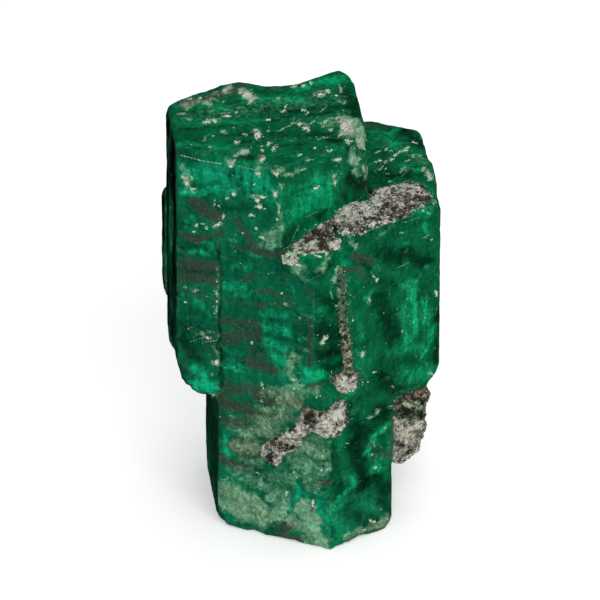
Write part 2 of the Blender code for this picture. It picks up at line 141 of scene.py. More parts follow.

# Zones of the crystals, as strokes between two places of the camera's 600 by 600 frame. Each row
# has a kind and its strokes: from across and down, to across and down, radius, strength.
# Bright strokes are partly painted sheen and glints, and the dark strokes marked below are painted
# shade.
STROKES = (
    # corners worn round
    ("worn", (347, 73, 352, 80, 7, 0.85), (168, 106, 169, 110, 5, 0.7), (420, 131, 424, 138, 7, 0.9),
     (230, 83, 236, 83, 8, 0.45)),
    # the tall crystal's top
    # The first dark stroke, on the narrow face turned left, is painted shade.
    ("dark", (168, 112, 169, 150, 8, 0.5), (292, 113, 346, 110, 6, 0.8), (344, 96, 358, 116, 8, 0.7),
     (308, 119, 332, 116, 4, 0.8), (262, 127, 292, 119, 5, 0.35), (186, 133, 236, 128, 4, 0.5),
     (198, 142, 254, 137, 4, 0.45), (228, 146, 262, 144, 4, 0.4), (238, 163, 258, 161, 5, 0.8),
     (272, 140, 330, 137, 7, 0.35), (328, 143, 352, 150, 6, 1.1), (275, 150, 300, 147, 5, 0.4)),
    ("brown", (182, 108, 240, 92, 9, 0.9), (224, 86, 256, 88, 6, 1.0), (262, 90, 284, 94, 7, 0.5),
     (181, 117, 194, 118, 5, 0.6)),
    ("bright", (250, 104, 300, 102, 11, 0.8), (300, 92, 344, 82, 10, 0.9), (322, 84, 348, 78, 6, 0.6),
     (204, 110, 250, 114, 9, 0.6), (178, 126, 258, 124, 8, 0.55), (182, 147, 222, 151, 6, 0.75),
     (270, 158, 322, 161, 5, 0.35)),
    ("white", (243, 94, 252, 101, 7, 1.6), (227, 88, 229, 95, 5, 0.7), (184, 109, 212, 103, 6, 0.75),
     (216, 98, 226, 92, 4, 0.6), (181, 117, 190, 116, 3, 0.6), (228, 83, 236, 82, 3, 0.6),
     (206, 123, 217, 122, 4, 0.8), (223, 116, 230, 115, 3, 0.8), (256, 134, 258, 138, 5, 1.4),
     (314, 95, 328, 94, 4, 0.9), (301, 87, 306, 85, 3.5, 0.6), (298, 124, 308, 129, 5, 0.7),
     (240, 153, 250, 151, 3.5, 0.6), (262, 159, 266, 162, 4.5, 0.9), (228, 164, 234, 166, 4, 0.9),
     (257, 172, 259, 176, 3.5, 0.6), (273, 174, 279, 173, 4, 0.9), (335, 160, 342, 160, 3.5, 1.0),
     (271, 149, 277, 150, 3, 0.7)),
    ("fleck", (184, 108, 234, 94, 9, 0.9), (272, 122, 345, 118, 9, 0.55), (256, 146, 330, 136, 8, 0.4),
     (196, 130, 250, 122, 8, 0.3), (225, 84, 236, 82, 5, 0.7), (240, 98, 252, 94, 6, 0.7),
     (298, 124, 316, 131, 5, 0.5), (318, 122, 336, 132, 7, 0.6), (300, 87, 314, 83, 5, 0.5),
     (336, 98, 350, 106, 6, 0.4), (232, 155, 262, 149, 5, 0.4)),
    ("pale", (200, 118, 340, 102, 20, 0.42)),
    # the knocked corner
    ("pale", (346, 124, 352, 136, 9, 1.9), (354, 124, 362, 142, 8, 1.7), (358, 138, 366, 176, 6, 1.6),
     (353, 152, 358, 176, 6, 1.2), (336, 126, 346, 136, 6, 1.1), (326, 128, 338, 120, 5, 0.7),
     (326, 140, 340, 142, 4, 0.6)),
    ("white", (345, 125, 350, 136, 8, 1.6), (352, 138, 358, 146, 6, 1.1), (355, 124, 362, 136, 5, 0.7),
     (362, 142, 365, 172, 4, 0.8), (356, 160, 357, 174, 4, 0.6), (332, 128, 338, 122, 4, 0.6)),
    ("brown", (342, 122, 352, 138, 8, 0.8), (334, 126, 342, 136, 6, 0.5)),
    ("fleck", (342, 124, 352, 140, 9, 1.1), (352, 122, 364, 140, 8, 0.8), (356, 146, 364, 178, 7, 0.8)),
    ("rough", (352, 122, 364, 174, 12, 1.2)),
    ("dark", (360, 184, 372, 196, 9, 1.1), (349, 180, 358, 192, 6, 0.8), (354, 199, 368, 202, 4, 0.8)),
    # the tall crystal's front
    ("white", (183, 176, 188, 184, 4.5, 1.0), (190, 188, 195, 189, 3, 0.9),
     (232, 193, 236, 195, 3.5, 0.9), (257, 197, 262, 199, 4, 0.8), (256, 206, 262, 208, 3.5, 0.9),
     (275, 193, 275, 197, 3.5, 1.0), (314, 189, 317, 187, 3.5, 1.1), (334, 175, 335, 184, 4, 0.6),
     (214, 225, 221, 222, 3.5, 0.9), (260, 238, 265, 236, 3, 0.7)),
    ("bright", (184, 172, 250, 178, 13, 0.75), (183, 191, 204, 192, 5, 1.3),
     (204, 193, 234, 190, 5, 1.0), (214, 176, 222, 176, 4, 0.8), (242, 186, 262, 190, 10, 0.6),
     (262, 180, 330, 177, 10, 0.7), (270, 192, 334, 186, 13, 0.75), (300, 201, 336, 192, 11, 0.7),
     (288, 212, 330, 205, 9, 0.6), (286, 226, 300, 216, 7, 0.5), (262, 196, 276, 204, 8, 0.6),
     (183, 220, 192, 216, 3, 0.9), (196, 220, 198, 230, 3, 0.8), (184, 226, 192, 231, 3, 0.7),
     (205, 243, 212, 247, 4, 0.8), (192, 252, 206, 252, 4, 1.2), (256, 254, 262, 257, 3, 1.2)),
    ("dark", (230, 174, 242, 186, 7, 0.5), (222, 209, 246, 206, 7, 0.4), (336, 188, 346, 196, 6, 0.6),
     (288, 196, 300, 192, 4, 0.6), (284, 240, 302, 228, 5, 0.5), (278, 248, 290, 250, 4, 0.5),
     (318, 218, 338, 203, 4, 0.6)),
    ("brown", (194, 202, 214, 213, 9, 1.2), (206, 214, 224, 216, 6, 1.0), (181, 211, 187, 213, 5, 0.6),
     (232, 222, 242, 223, 4, 0.9), (182, 235, 202, 240, 7, 1.0), (202, 236, 224, 232, 6, 0.9),
     (240, 226, 254, 246, 8, 0.8)),
    ("pale", (266, 236, 280, 230, 9, 1.0), (262, 244, 280, 243, 6, 0.8), (276, 175, 306, 170, 4, 0.7),
     (226, 162, 236, 166, 4, 0.8), (256, 172, 264, 162, 5, 0.9), (183, 168, 190, 182, 5, 0.8),
     (276, 207, 280, 218, 4, 0.8), (333, 176, 335, 186, 4, 0.9), (294, 236, 303, 222, 2.5, 0.8)),
    ("fleck", (216, 202, 228, 196, 5, 0.5), (253, 196, 262, 208, 7, 0.6), (200, 226, 222, 224, 5, 0.4)),
    # the block at the left
    ("brown", (183, 263, 213, 268, 10, 1.2), (183, 278, 213, 282, 9, 1.0),
     (183, 248, 190, 256, 5, 0.7), (184, 292, 214, 300, 9, 0.55), (184, 326, 214, 334, 8, 0.5),
     (188, 351, 214, 353, 7, 0.45), (185, 367, 190, 370, 4, 0.7)),
    # The dark lines along across 220 are painted shadow in the gap between the block and the middle
    # crystal.
    ("dark", (182, 340, 194, 354, 8, 0.5), (184, 268, 212, 274, 5, 0.5),
     (220, 250, 220, 300, 2.5, 0.8), (219.5, 300, 219.5, 396, 2.5, 1.0)),
    ("bright", (196, 304, 206, 312, 5, 0.7), (190, 318, 210, 322, 5, 0.4),
     (195, 368, 206, 376, 7, 1.0), (190, 384, 212, 386, 7, 1.4), (204, 376, 212, 391, 5, 1.3),
     (185, 374, 190, 380, 5, 0.5)),
    ("white", (215, 361, 217, 363, 4, 1.4), (206, 338, 210, 338, 3, 0.8)),
    ("pale", (212, 394, 217, 397, 3, 1.1), (216, 284, 217, 300, 2.5, 0.9),
     (216, 306, 216, 320, 2.5, 0.7), (213, 348, 217, 358, 3.5, 0.7), (196, 332, 210, 330, 4, 0.6),
     (216, 258, 216, 345, 2, 0.5)),
    ("fleck", (186, 286, 214, 298, 9, 0.3), (188, 326, 214, 350, 9, 0.3),
     (216, 262, 216, 345, 2.5, 0.8)),
    # the middle crystal's left face
    ("bright", (232, 269, 250, 265, 5, 0.8), (226, 286, 246, 288, 6, 0.8),
     (238, 295, 258, 293, 4, 0.8), (290, 282, 293, 292, 4, 0.6), (264, 312, 286, 315, 5, 0.6),
     (266, 326, 288, 330, 7, 0.9), (266, 341, 290, 348, 7, 1.0), (272, 354, 286, 362, 6, 0.9),
     (280, 366, 284, 383, 5, 0.8), (224, 365, 245, 369, 7, 0.6), (226, 350, 240, 353, 5, 0.5),
     (245, 388, 253, 396, 6, 0.8), (222, 432, 226, 452, 5, 0.8), (300, 312, 312, 317, 3, 1.4),
     (300, 339, 308, 338, 2.5, 1.2), (309, 374, 321, 374, 6, 1.8), (302, 380, 316, 381, 4, 1.0),
     (318, 312, 326, 308, 5, 0.5)),
    ("dark", (236, 316, 292, 352, 20, 0.22)),
    ("brown", (236, 248, 262, 250, 6, 0.8), (262, 252, 284, 256, 6, 1.0), (238, 273, 258, 277, 4, 0.9),
     (240, 281, 300, 277, 3.5, 0.8), (222, 260, 236, 258, 5, 0.5), (262, 292, 292, 298, 4.5, 1.0),
     (222, 302, 262, 304, 4, 0.7), (262, 303, 290, 307, 4.5, 1.1), (224, 322, 258, 325, 7, 1.1),
     (228, 336, 259, 338, 8, 1.0), (250, 346, 261, 356, 6, 0.9), (222, 344, 236, 341, 5, 0.6),
     (250, 364, 276, 371, 8, 1.2), (240, 358, 256, 360, 5, 0.6), (228, 387, 262, 392, 9, 1.1),
     (224, 402, 250, 412, 11, 1.2), (226, 421, 248, 424, 7, 1.0), (262, 398, 274, 402, 4, 0.8),
     (306, 284, 311, 300, 4, 1.0), (309, 320, 311, 366, 4, 1.2), (300, 322, 300, 332, 3, 0.7),
     (222, 460, 242, 466, 6, 1.0)),
    ("pale", (290, 353, 300, 360, 6, 0.9), (291, 363, 292, 379, 5, 1.0), (297, 345, 303, 350, 5, 0.7),
     (300, 366, 304, 378, 4, 0.5)),
    # its cloudy lower part
    ("pale", (284, 372, 300, 384, 8, 0.6), (262, 392, 300, 388, 8, 0.8), (246, 432, 314, 444, 26, 0.6),
     (236, 470, 312, 482, 20, 0.54), (277, 399, 294, 396, 7, 1.0), (288, 402, 314, 392, 8, 0.75),
     (262, 412, 296, 406, 10, 0.85), (256, 418, 266, 424, 6, 1.15), (258, 430, 268, 432, 6, 0.95),
     (236, 430, 246, 436, 7, 0.75), (268, 422, 290, 416, 8, 0.75), (232, 445, 256, 449, 7, 1.5),
     (302, 446, 326, 455, 11, 0.85), (296, 464, 326, 470, 11, 0.85), (282, 462, 300, 482, 9, 0.75),
     (262, 484, 282, 496, 9, 0.8), (244, 476, 262, 486, 7, 0.6), (240, 458, 262, 462, 5, 0.7),
     (304, 480, 316, 490, 7, 0.6)),
    ("brown", (246, 432, 314, 444, 24, 0.5), (262, 396, 300, 404, 11, 1.1),
     (262, 416, 288, 416, 9, 0.9), (256, 420, 262, 430, 6, 0.5), (266, 426, 284, 432, 7, 0.7),
     (232, 445, 258, 450, 10, 1.3), (240, 458, 262, 462, 5, 0.6), (224, 457, 240, 468, 7, 0.9),
     (304, 484, 318, 490, 6, 0.5), (302, 409, 330, 401, 5, 0.7), (313, 388, 327, 385, 5, 0.8),
     (318, 482, 328, 484, 6, 1.0)),
    ("clear", (336, 440, 336, 546, 5, 0.9)),
    ("dark", (244, 466, 262, 472, 5, 0.5), (262, 468, 268, 478, 4, 0.6)),
    ("bright", (248, 466, 262, 462, 3, 0.6), (222, 477, 242, 479, 2.5, 1.2)),
    # its foot
    ("pale", (224, 488, 246, 500, 12, 1.3), (224, 504, 248, 512, 11, 1.35),
     (250, 498, 266, 514, 10, 1.15), (240, 516, 264, 525, 8, 0.9), (266, 520, 288, 510, 10, 1.1),
     (268, 498, 284, 504, 8, 0.95), (300, 506, 314, 518, 10, 1.9), (292, 520, 312, 532, 10, 1.6),
     (314, 530, 322, 545, 8, 1.6), (304, 540, 320, 547, 6, 1.2), (318, 436, 337, 434, 5, 0.9)),
    ("brown", (224, 492, 246, 512, 12, 0.5), (248, 500, 262, 514, 8, 0.5),
     (280, 530, 292, 526, 7, 1.1), (274, 536, 298, 538, 5, 1.0), (318, 436, 337, 434, 5, 0.6)),
    ("clear", (301, 482, 297, 500, 6, 1.0), (304, 494, 316, 499, 5, 0.9),
     (296, 500, 289, 511, 4.5, 1.0), (321, 506, 327, 522, 4, 1.0)),
    ("bright", (299, 486, 303, 497, 5, 0.7), (288, 508, 298, 499, 4, 1.0), (318, 506, 326, 518, 5, 0.5)),
    ("white", (312, 502, 314, 507, 3, 1.2), (285, 493, 287, 495, 3, 0.6),
     (236, 446, 240, 446, 4, 0.35), (324, 341, 327, 337, 4, 1.3), (361, 354, 363, 355, 4, 0.9),
     (369, 520, 376, 522, 3, 0.6), (427, 172, 430, 178, 4, 0.8)),
    ("fleck", (303, 444, 326, 474, 10, 0.35), (222, 478, 244, 480, 3, 0.5),
     (224, 490, 262, 514, 10, 0.3), (296, 508, 316, 522, 9, 0.35)),
    # the middle crystal's right face
    # The dark strokes from down 404 to 434, below the crystal at the right, are painted shadow that it
    # casts.
    ("dark", (318, 296, 336, 308, 8, 0.5), (318, 328, 338, 334, 9, 0.55),
     (318, 356, 338, 350, 9, 0.75), (324, 366, 338, 366, 6, 0.6), (316, 276, 330, 264, 6, 0.6),
     (340, 404, 386, 412, 11, 0.75), (350, 425, 364, 434, 11, 0.9), (354, 444, 364, 484, 11, 1.0),
     (376, 478, 392, 490, 9, 0.9), (380, 500, 390, 511, 6, 0.6), (329.5, 440, 329.5, 540, 1.5, 0.9),
     (336, 446, 337, 500, 7, 0.45), (346, 512, 368, 524, 11, 0.5), (345, 460, 390, 450, 10, 0.3)),
    ("brown", (374, 456, 392, 456, 5, 1.1), (352, 536, 386, 522, 7, 0.75)),
    # The bright strokes about (372, 436) and (345, 490) are painted glints.
    ("bright", (342, 398, 353, 395, 5, 1.0), (334, 438, 340, 446, 4, 0.6),
     (372, 436, 386, 427, 4.5, 1.9), (367, 449, 376, 440, 3.5, 1.6), (366, 452, 370, 457, 3, 1.0),
     (373, 468, 380, 468, 5, 1.2), (338, 497, 353, 483, 4.5, 1.0), (350, 482, 354, 475, 4, 0.8),
     (331, 506, 345, 501, 6, 0.55), (332, 520, 341, 531, 7, 0.35), (358, 498, 372, 508, 6, 0.3)),
    ("pale", (346, 537, 387, 520, 8, 1.0), (368, 417, 378, 415, 2.5, 0.8),
     (378, 412, 392, 406, 3, 0.7), (371, 446, 378, 448, 4, 0.6)),
    ("fleck", (350, 534, 386, 518, 5, 0.5)),
    # the crystal at the right: its top
    ("brown", (368, 130, 386, 132, 6, 1.1)),
    ("bright", (386, 140, 398, 132, 6, 0.7), (404, 168, 418, 173, 6, 1.0),
     (376, 140, 424, 160, 14, 0.5), (388, 150, 404, 142, 5, 0.4)),
    ("pale", (404, 154, 428, 166, 8, 0.5), (424, 171, 432, 180, 4, 0.9), (431, 184, 436, 205, 2.5, 0.9)),
    ("dark", (375, 146, 386, 176, 8, 0.4), (406, 134, 421, 151, 7, 0.7), (386, 179, 426, 178, 4, 0.6)),
    ("fleck", (398, 151, 414, 145, 3, 0.8), (376, 152, 392, 146, 3, 0.7), (374, 170, 400, 156, 3, 0.6)),
    # its front
    ("bright", (403, 284, 404, 334, 4, 1.0), (411, 286, 416, 330, 8, 1.3),
     (402, 336, 409, 340, 4, 1.0), (425, 300, 431, 336, 7, 1.1), (420, 356, 429, 342, 3, 2.0),
     (425, 226, 427, 232, 3, 1.5), (425, 268, 428, 269, 3.5, 1.2), (404, 245, 408, 244, 2, 1.2),
     (364, 299, 370, 294, 4.5, 1.0), (358, 350, 366, 380, 6, 0.5), (404, 372, 428, 372, 10, 0.7),
     (394, 347, 420, 350, 8, 0.6), (394, 219, 430, 214, 5, 0.7), (386, 224, 396, 222, 4, 0.7),
     (356, 312, 362, 336, 5, 0.4)),
    ("dark", (378, 300, 394, 340, 11, 0.65), (380, 254, 398, 262, 10, 0.6),
     (400, 254, 432, 262, 7, 0.7), (375, 276, 394, 284, 8, 0.4), (384, 382, 400, 390, 6, 0.8),
     (434, 330, 437, 360, 4, 0.7), (354, 258, 370, 268, 5, 0.7)),
    ("brown", (354, 257, 370, 262, 6, 1.2), (354, 268, 366, 276, 5, 1.0), (342, 264, 352, 272, 4, 0.9)),
    ("fleck", (407, 285, 418, 330, 8, 0.3)),
    ("pale", (398, 392, 428, 386, 3, 0.6)),
    # beside the seam and under the ledge
    ("pale", (336, 268, 334, 282, 4, 0.9), (340, 287, 348, 290, 4, 0.8),
     (332, 290, 333, 300, 2.5, 0.7), (292, 261, 330, 257, 4.5, 1.0), (296, 268, 322, 268, 9, 0.95),
     (298, 276, 306, 281, 5, 0.7), (350, 243, 358, 248, 5, 0.8), (376, 240, 398, 220, 2.5, 0.8)),
    ("bright", (306, 262, 326, 262, 4, 0.6), (341, 252, 346, 262, 4, 0.9)),
    ("dark", (316, 290, 326, 270, 6, 0.4)),
)

# Blotches of small mica flakes on the crystals, in the same frame: across, down, width, height,
# turn in degrees, how light it is.
BLOTCHES = (
    # the tall crystal's top
    (188, 108, 11, 5, 12, 0.45), (200, 98, 7, 4, 20, 0.6), (206, 103, 9, 4, 10, 0.5),
    (226, 91, 9, 7, 0, 0.7), (229, 86, 10, 4, 20, 0.5), (233, 82, 10, 4, 15, 0.6),
    (247, 95, 11, 8, 0, 0.95), (250, 102, 9, 5, 10, 0.8), (240, 93, 6, 3, 10, 0.7),
    (207, 122, 9, 4, 15, 0.9), (215, 121, 5, 6, 0, 0.9), (226, 116, 9, 3, 5, 0.95),
    (236, 112, 5, 3, 10, 0.6), (224, 102, 4, 3, 0, 0.5), (190, 119, 8, 4, 0, 0.4),
    (257, 136, 9, 8, 0, 1.0), (269, 120, 6, 3, 0, 0.85), (183, 114, 8, 3, 5, 0.45),
    (191, 99, 7, 4, 20, 0.6), (209, 103, 7, 6, 0, 0.6), (224, 132, 9, 4, 0, 0.45),
    (244, 134, 9, 3, -10, 0.45), (237, 142, 6, 5, 0, 0.75), (243, 153, 18, 4, 5, 0.65),
    (262, 150, 5, 4, 0, 0.6), (269, 144, 7, 2.5, 25, 0.65), (268, 131, 8, 2, 10, 0.4),
    (283, 129, 12, 2.5, 20, 0.5), (289, 126, 6, 2, 20, 0.5), (308, 129, 8, 4, -15, 0.7),
    (312, 123, 8, 2, 30, 0.5), (324, 123, 8, 4, 10, 0.5), (332, 118, 8, 3, -20, 0.5),
    (323, 110, 10, 2, 45, 0.35), (305, 111, 7, 3, -25, 0.65), (323, 138, 8, 4, 0, 0.4),
    (328, 151, 4, 3, -45, 0.55), (300, 155, 7, 3, 0, 0.6), (308, 160, 8, 2, 5, 0.45),
    (213, 136, 5, 2, 0, 0.5), (211, 147, 7, 2, 10, 0.5), (206, 139, 5, 4, 0, 0.35),
    (283, 111, 5, 3, 10, 0.8), (286, 107, 4, 3, 40, 0.7), (279, 98, 5, 5, 0, 0.5),
    (293, 87, 8, 3, 0, 0.7), (303, 86, 6, 5, 0, 0.75), (311, 83, 6, 5, 0, 0.7), (319, 95, 13, 4, 0, 0.9),
    (328, 92, 5, 5, 0, 0.8), (341, 90, 4, 10, 10, 0.55), (337, 96, 4, 3, 0, 0.75),
    (303, 110, 4, 3, 0, 0.75), (308, 113, 6, 3, 20, 0.55), (343, 104, 5, 4, 30, 0.45),
    (300, 124, 6, 5, 0, 0.8), (305, 128, 6, 5, 20, 0.85), (293, 123, 6, 2, 10, 0.55),
    (309, 131, 7, 2, 10, 0.55), (325, 121, 7, 2, 10, 0.65), (331, 130, 5, 5, 0, 0.7),
    (323, 126, 4, 3, 0, 0.5), (224, 131, 7, 2, 10, 0.55), (236, 141, 5, 4, 30, 0.6),
    (268, 143, 4, 4, 30, 0.8), (262, 146, 5, 2, 20, 0.6), (274, 149, 7, 4, 0, 0.8),
    (245, 151, 11, 4, 5, 0.65), (236, 156, 9, 3, 5, 0.5), (263, 159, 8, 5, 20, 0.85),
    (229, 163, 4, 8, 0, 0.6), (231, 165, 6, 4, 0, 0.9), (258, 174, 5, 7, 0, 0.7),
    (276, 174, 6, 5, 0, 0.85), (288, 175, 13, 5, 5, 0.4), (301, 170, 9, 2.5, 25, 0.5),
    (338, 160, 10, 3, 5, 0.9), (299, 156, 4, 2, 0, 0.45), (315, 148, 3, 3, 0, 0.8),
    (332, 150, 4, 2, 20, 0.6), (204, 141, 4, 2, 0, 0.45),
    # the knocked corner
    (337, 118, 6, 3, 10, 0.7), (345, 127, 9, 10, 30, 1.0), (340, 135, 6, 5, 0, 0.75),
    (350, 123, 6, 8, 0, 0.8), (349, 141, 8, 6, 150, 0.75), (358, 130, 7, 9, 0, 0.5),
    (362, 145, 6, 12, 10, 0.55), (358, 160, 6, 10, 0, 0.5), (364, 168, 6, 8, 0, 0.6),
    (355, 172, 6, 8, 0, 0.45),
    # its front
    (183, 167, 6, 7, 0, 0.4), (183, 177, 4, 6, 0, 0.75), (187, 183, 5, 6, 150, 0.95),
    (193, 189, 7, 2, 0, 0.85), (192, 178, 3, 4, 40, 0.65), (185, 193, 5, 3, 0, 0.5),
    (234, 194, 7, 4, 150, 0.85), (227, 198, 4, 5, 20, 0.55), (215, 203, 3, 6, 0, 0.55),
    (220, 206, 4, 3, 0, 0.45), (263, 197, 8, 3, 0, 0.9), (257, 200, 5, 6, 20, 0.8),
    (253, 196, 3, 4, 0, 0.8), (259, 207, 7, 4, 150, 0.9), (264, 209, 4, 2, 0, 0.6),
    (252, 215, 6, 4, 140, 0.75), (275, 195, 4, 6, 0, 0.9), (255, 185, 4, 2, 0, 0.75),
    (281, 186, 3, 8, 10, 0.4), (315, 188, 6, 4, 10, 1.0), (333, 176, 5, 6, 0, 0.6),
    (335, 184, 3, 6, 170, 0.7), (197, 225, 4, 4, 0, 0.8), (203, 224, 6, 3, 0, 0.5),
    (207, 228, 5, 4, 20, 0.5), (217, 224, 8, 4, 20, 0.95), (223, 218, 3, 7, 0, 0.8),
    (194, 232, 4, 2, 0, 0.8), (257, 228, 4, 4, 0, 0.7), (262, 237, 7, 3, 150, 0.85),
    (279, 212, 3, 8, 10, 0.5), (277, 219, 3, 3, 0, 0.8), (243, 233, 3, 2, 0, 0.55),
    (271, 233, 6, 5, 0, 0.35),
    # the block at the left
    (186, 287, 6, 3, 10, 0.4), (196, 291, 7, 3, 10, 0.4), (216, 293, 2.5, 7, 0, 0.75),
    (217, 302, 2.5, 3, 0, 0.95), (217, 281, 2, 3, 0, 0.7), (185, 302, 5, 2, 0, 0.65),
    (216, 312, 3, 6, 0, 0.45), (208, 338, 4, 2.5, 0, 0.95), (202, 333, 8, 4, 20, 0.35),
    (216, 362, 6, 6, 20, 1.0), (214, 396, 4, 3, 0, 0.7), (212, 374, 4, 4, 0, 0.4),
    # the middle crystal's left face
    (282, 293, 5, 3, 30, 0.65), (286, 304, 7, 4, 140, 0.4), (252, 343, 4, 5, 20, 0.55),
    (262, 385, 3, 6, 20, 0.7), (294, 379, 7, 3, 0, 0.6), (294, 389, 3, 3, 0, 0.7),
    (270, 391, 4, 3, 0, 0.45), (292, 366, 4, 8, 10, 0.4), (316, 397, 4, 2.5, 30, 0.55),
    (320, 396, 2, 2, 0, 0.6), (279, 398, 5, 8, 0, 0.4), (262, 401, 4, 3, 0, 0.45),
    (237, 446, 9, 5, 0, 0.4), (262, 422, 7, 6, 0, 0.35), (310, 447, 6, 4, 0, 0.5),
    (316, 455, 7, 4, 10, 0.45), (322, 456, 3, 3, 0, 0.7), (321, 470, 2.5, 2.5, 0, 0.9),
    (328, 469, 5, 5, 30, 0.5), (258, 473, 3, 3, 30, 0.7), (294, 472, 3, 3, 0, 0.5),
    (297, 478, 2.5, 2.5, 0, 0.6), (225, 479, 6, 2, 5, 0.5), (286, 493, 4, 6, 20, 0.65),
    (278, 492, 3, 2, 0, 0.55), (313, 504, 4, 8, 0, 0.9), (303, 503, 7, 2.5, 0, 0.55),
    (284, 516, 4, 3, 0, 0.55), (234, 508, 9, 4, 0, 0.4), (246, 503, 3, 5, 0, 0.45),
    (300, 317, 3, 5, 0, 0.4), (318, 335, 2, 2, 0, 0.3),
    # the faces right of the front edge
    (325, 338, 6, 6, 45, 0.85), (322, 343, 5, 5, 45, 0.75), (343, 287, 10, 3, 5, 0.65),
    (331, 294, 2.5, 9, 10, 0.45), (337, 270, 5, 8, 160, 0.6), (335, 280, 6, 3, 10, 0.5),
    (336, 306, 3, 3, 0, 0.45), (369, 300, 5, 6, 0, 0.5), (377, 280, 4, 3, 30, 0.8),
    (373, 276, 2, 5, 30, 0.7), (362, 354, 6, 6, 0, 0.75), (353, 320, 2, 5, 0, 0.6),
    (436, 293, 5, 6, 30, 0.8), (431, 374, 5, 6, 0, 0.6), (431, 239, 3, 3, 0, 0.6),
    (401, 233, 4, 2, 0, 0.5), (426, 236, 7, 3, 20, 0.35), (374, 372, 5, 2, 20, 0.6),
    (368, 382, 3, 2, 0, 0.6), (393, 387, 4, 3, 0, 0.4), (402, 331, 2.5, 3, 0, 0.55),
    (378, 412, 4, 4, 20, 0.6), (371, 417, 7, 2, 15, 0.5), (390, 406, 6, 3, 30, 0.45),
    (345, 410, 5, 3, 30, 0.45), (348, 444, 4, 2.5, 150, 0.45), (374, 444, 3, 7, 20, 0.5),
    (372, 455, 4, 4, 0, 0.5), (385, 428, 5, 3, 30, 0.5), (375, 468, 4, 5, 0, 0.55),
    (370, 521, 3, 5, 20, 0.8), (375, 522, 3, 4, 20, 0.8), (364, 530, 5, 2.5, 10, 0.7),
    (348, 533, 4, 4, 20, 0.45), (386, 519, 6, 2.5, 15, 0.45), (429, 175, 4, 7, 20, 0.85),
    (424, 169, 7, 3, 20, 0.7), (388, 174, 3, 2, 0, 0.5), (415, 143, 7, 3, -15, 0.75),
    (408, 148, 9, 3, 30, 0.7), (406, 151, 7, 3, 0, 0.9), (400, 152, 7, 2.5, 25, 0.7),
    (395, 155, 8, 3, 30, 0.75), (392, 159, 7, 3, 20, 0.75), (387, 149, 6, 2.5, 35, 0.7),
    (391, 151, 4, 2, 0, 0.6), (378, 152, 6, 2, 30, 0.7), (380, 161, 5, 3, 10, 0.9),
    (376, 162, 3, 4, 60, 0.6), (386, 162, 6, 2.5, 30, 0.6), (408, 161, 7, 2.5, 20, 0.6),
    (413, 156, 4, 3, 0, 0.7), (421, 156, 5, 3, 0, 0.6), (430, 178, 5, 7, 0, 0.8),
    (405, 169, 7, 3, 15, 0.6), (402, 172, 6, 3, 45, 0.6), (382, 167, 5, 2, 30, 0.6),
    (386, 168, 5, 2, 45, 0.6), (379, 170, 5, 2, 30, 0.5), (389, 182, 5, 2, 20, 0.5),
    (412, 211, 8, 2.5, 20, 0.5), (425, 211, 7, 2.5, 150, 0.75), (434, 203, 4, 3, 0, 0.5),
    (356, 246, 6, 6, 0, 0.4),
    # the schist's lower end on the ledge
    (294, 258, 6, 5, 0, 0.8), (286, 256, 6, 4, 20, 0.6), (305, 254, 8, 3, 5, 0.7),
    (318, 256, 8, 3, 170, 0.65), (326, 254, 6, 3, 20, 0.7),
)

# Fine scratches and healed cracks: from across and down, to across and down, how light.
SCRATCHES = (
    (180, 155, 200, 160, 1.1), (198, 160, 222, 164, 0.95), (238, 166, 256, 170, 0.6),
    (313, 182, 318, 171, 0.35), (306, 217, 318, 211, 0.5), (290, 246, 299, 224, 0.3),
    (397, 268, 410, 262, 0.55), (371, 272, 377, 280, 0.5), (402, 223, 420, 217, 0.35),
    (190, 342, 206, 336, 0.4), (205, 342, 218, 340, 0.8), (193, 338, 203, 331, 0.4),
    (374, 172, 385, 160, 0.4), (385, 160, 400, 152, 0.35), (381, 148, 392, 141, 0.35),
    (401, 177, 411, 168, 0.35), (300, 313, 312, 318, 0.4), (302, 337, 308, 340, 0.4),
    (378, 264, 380, 272, 0.3), (316, 272, 328, 264, 0.3), (304, 283, 320, 275, 0.25),
    (233, 323, 244, 330, 0.25), (404, 254, 408, 248, 0.25), (366, 449, 372, 440, 0.3),
)

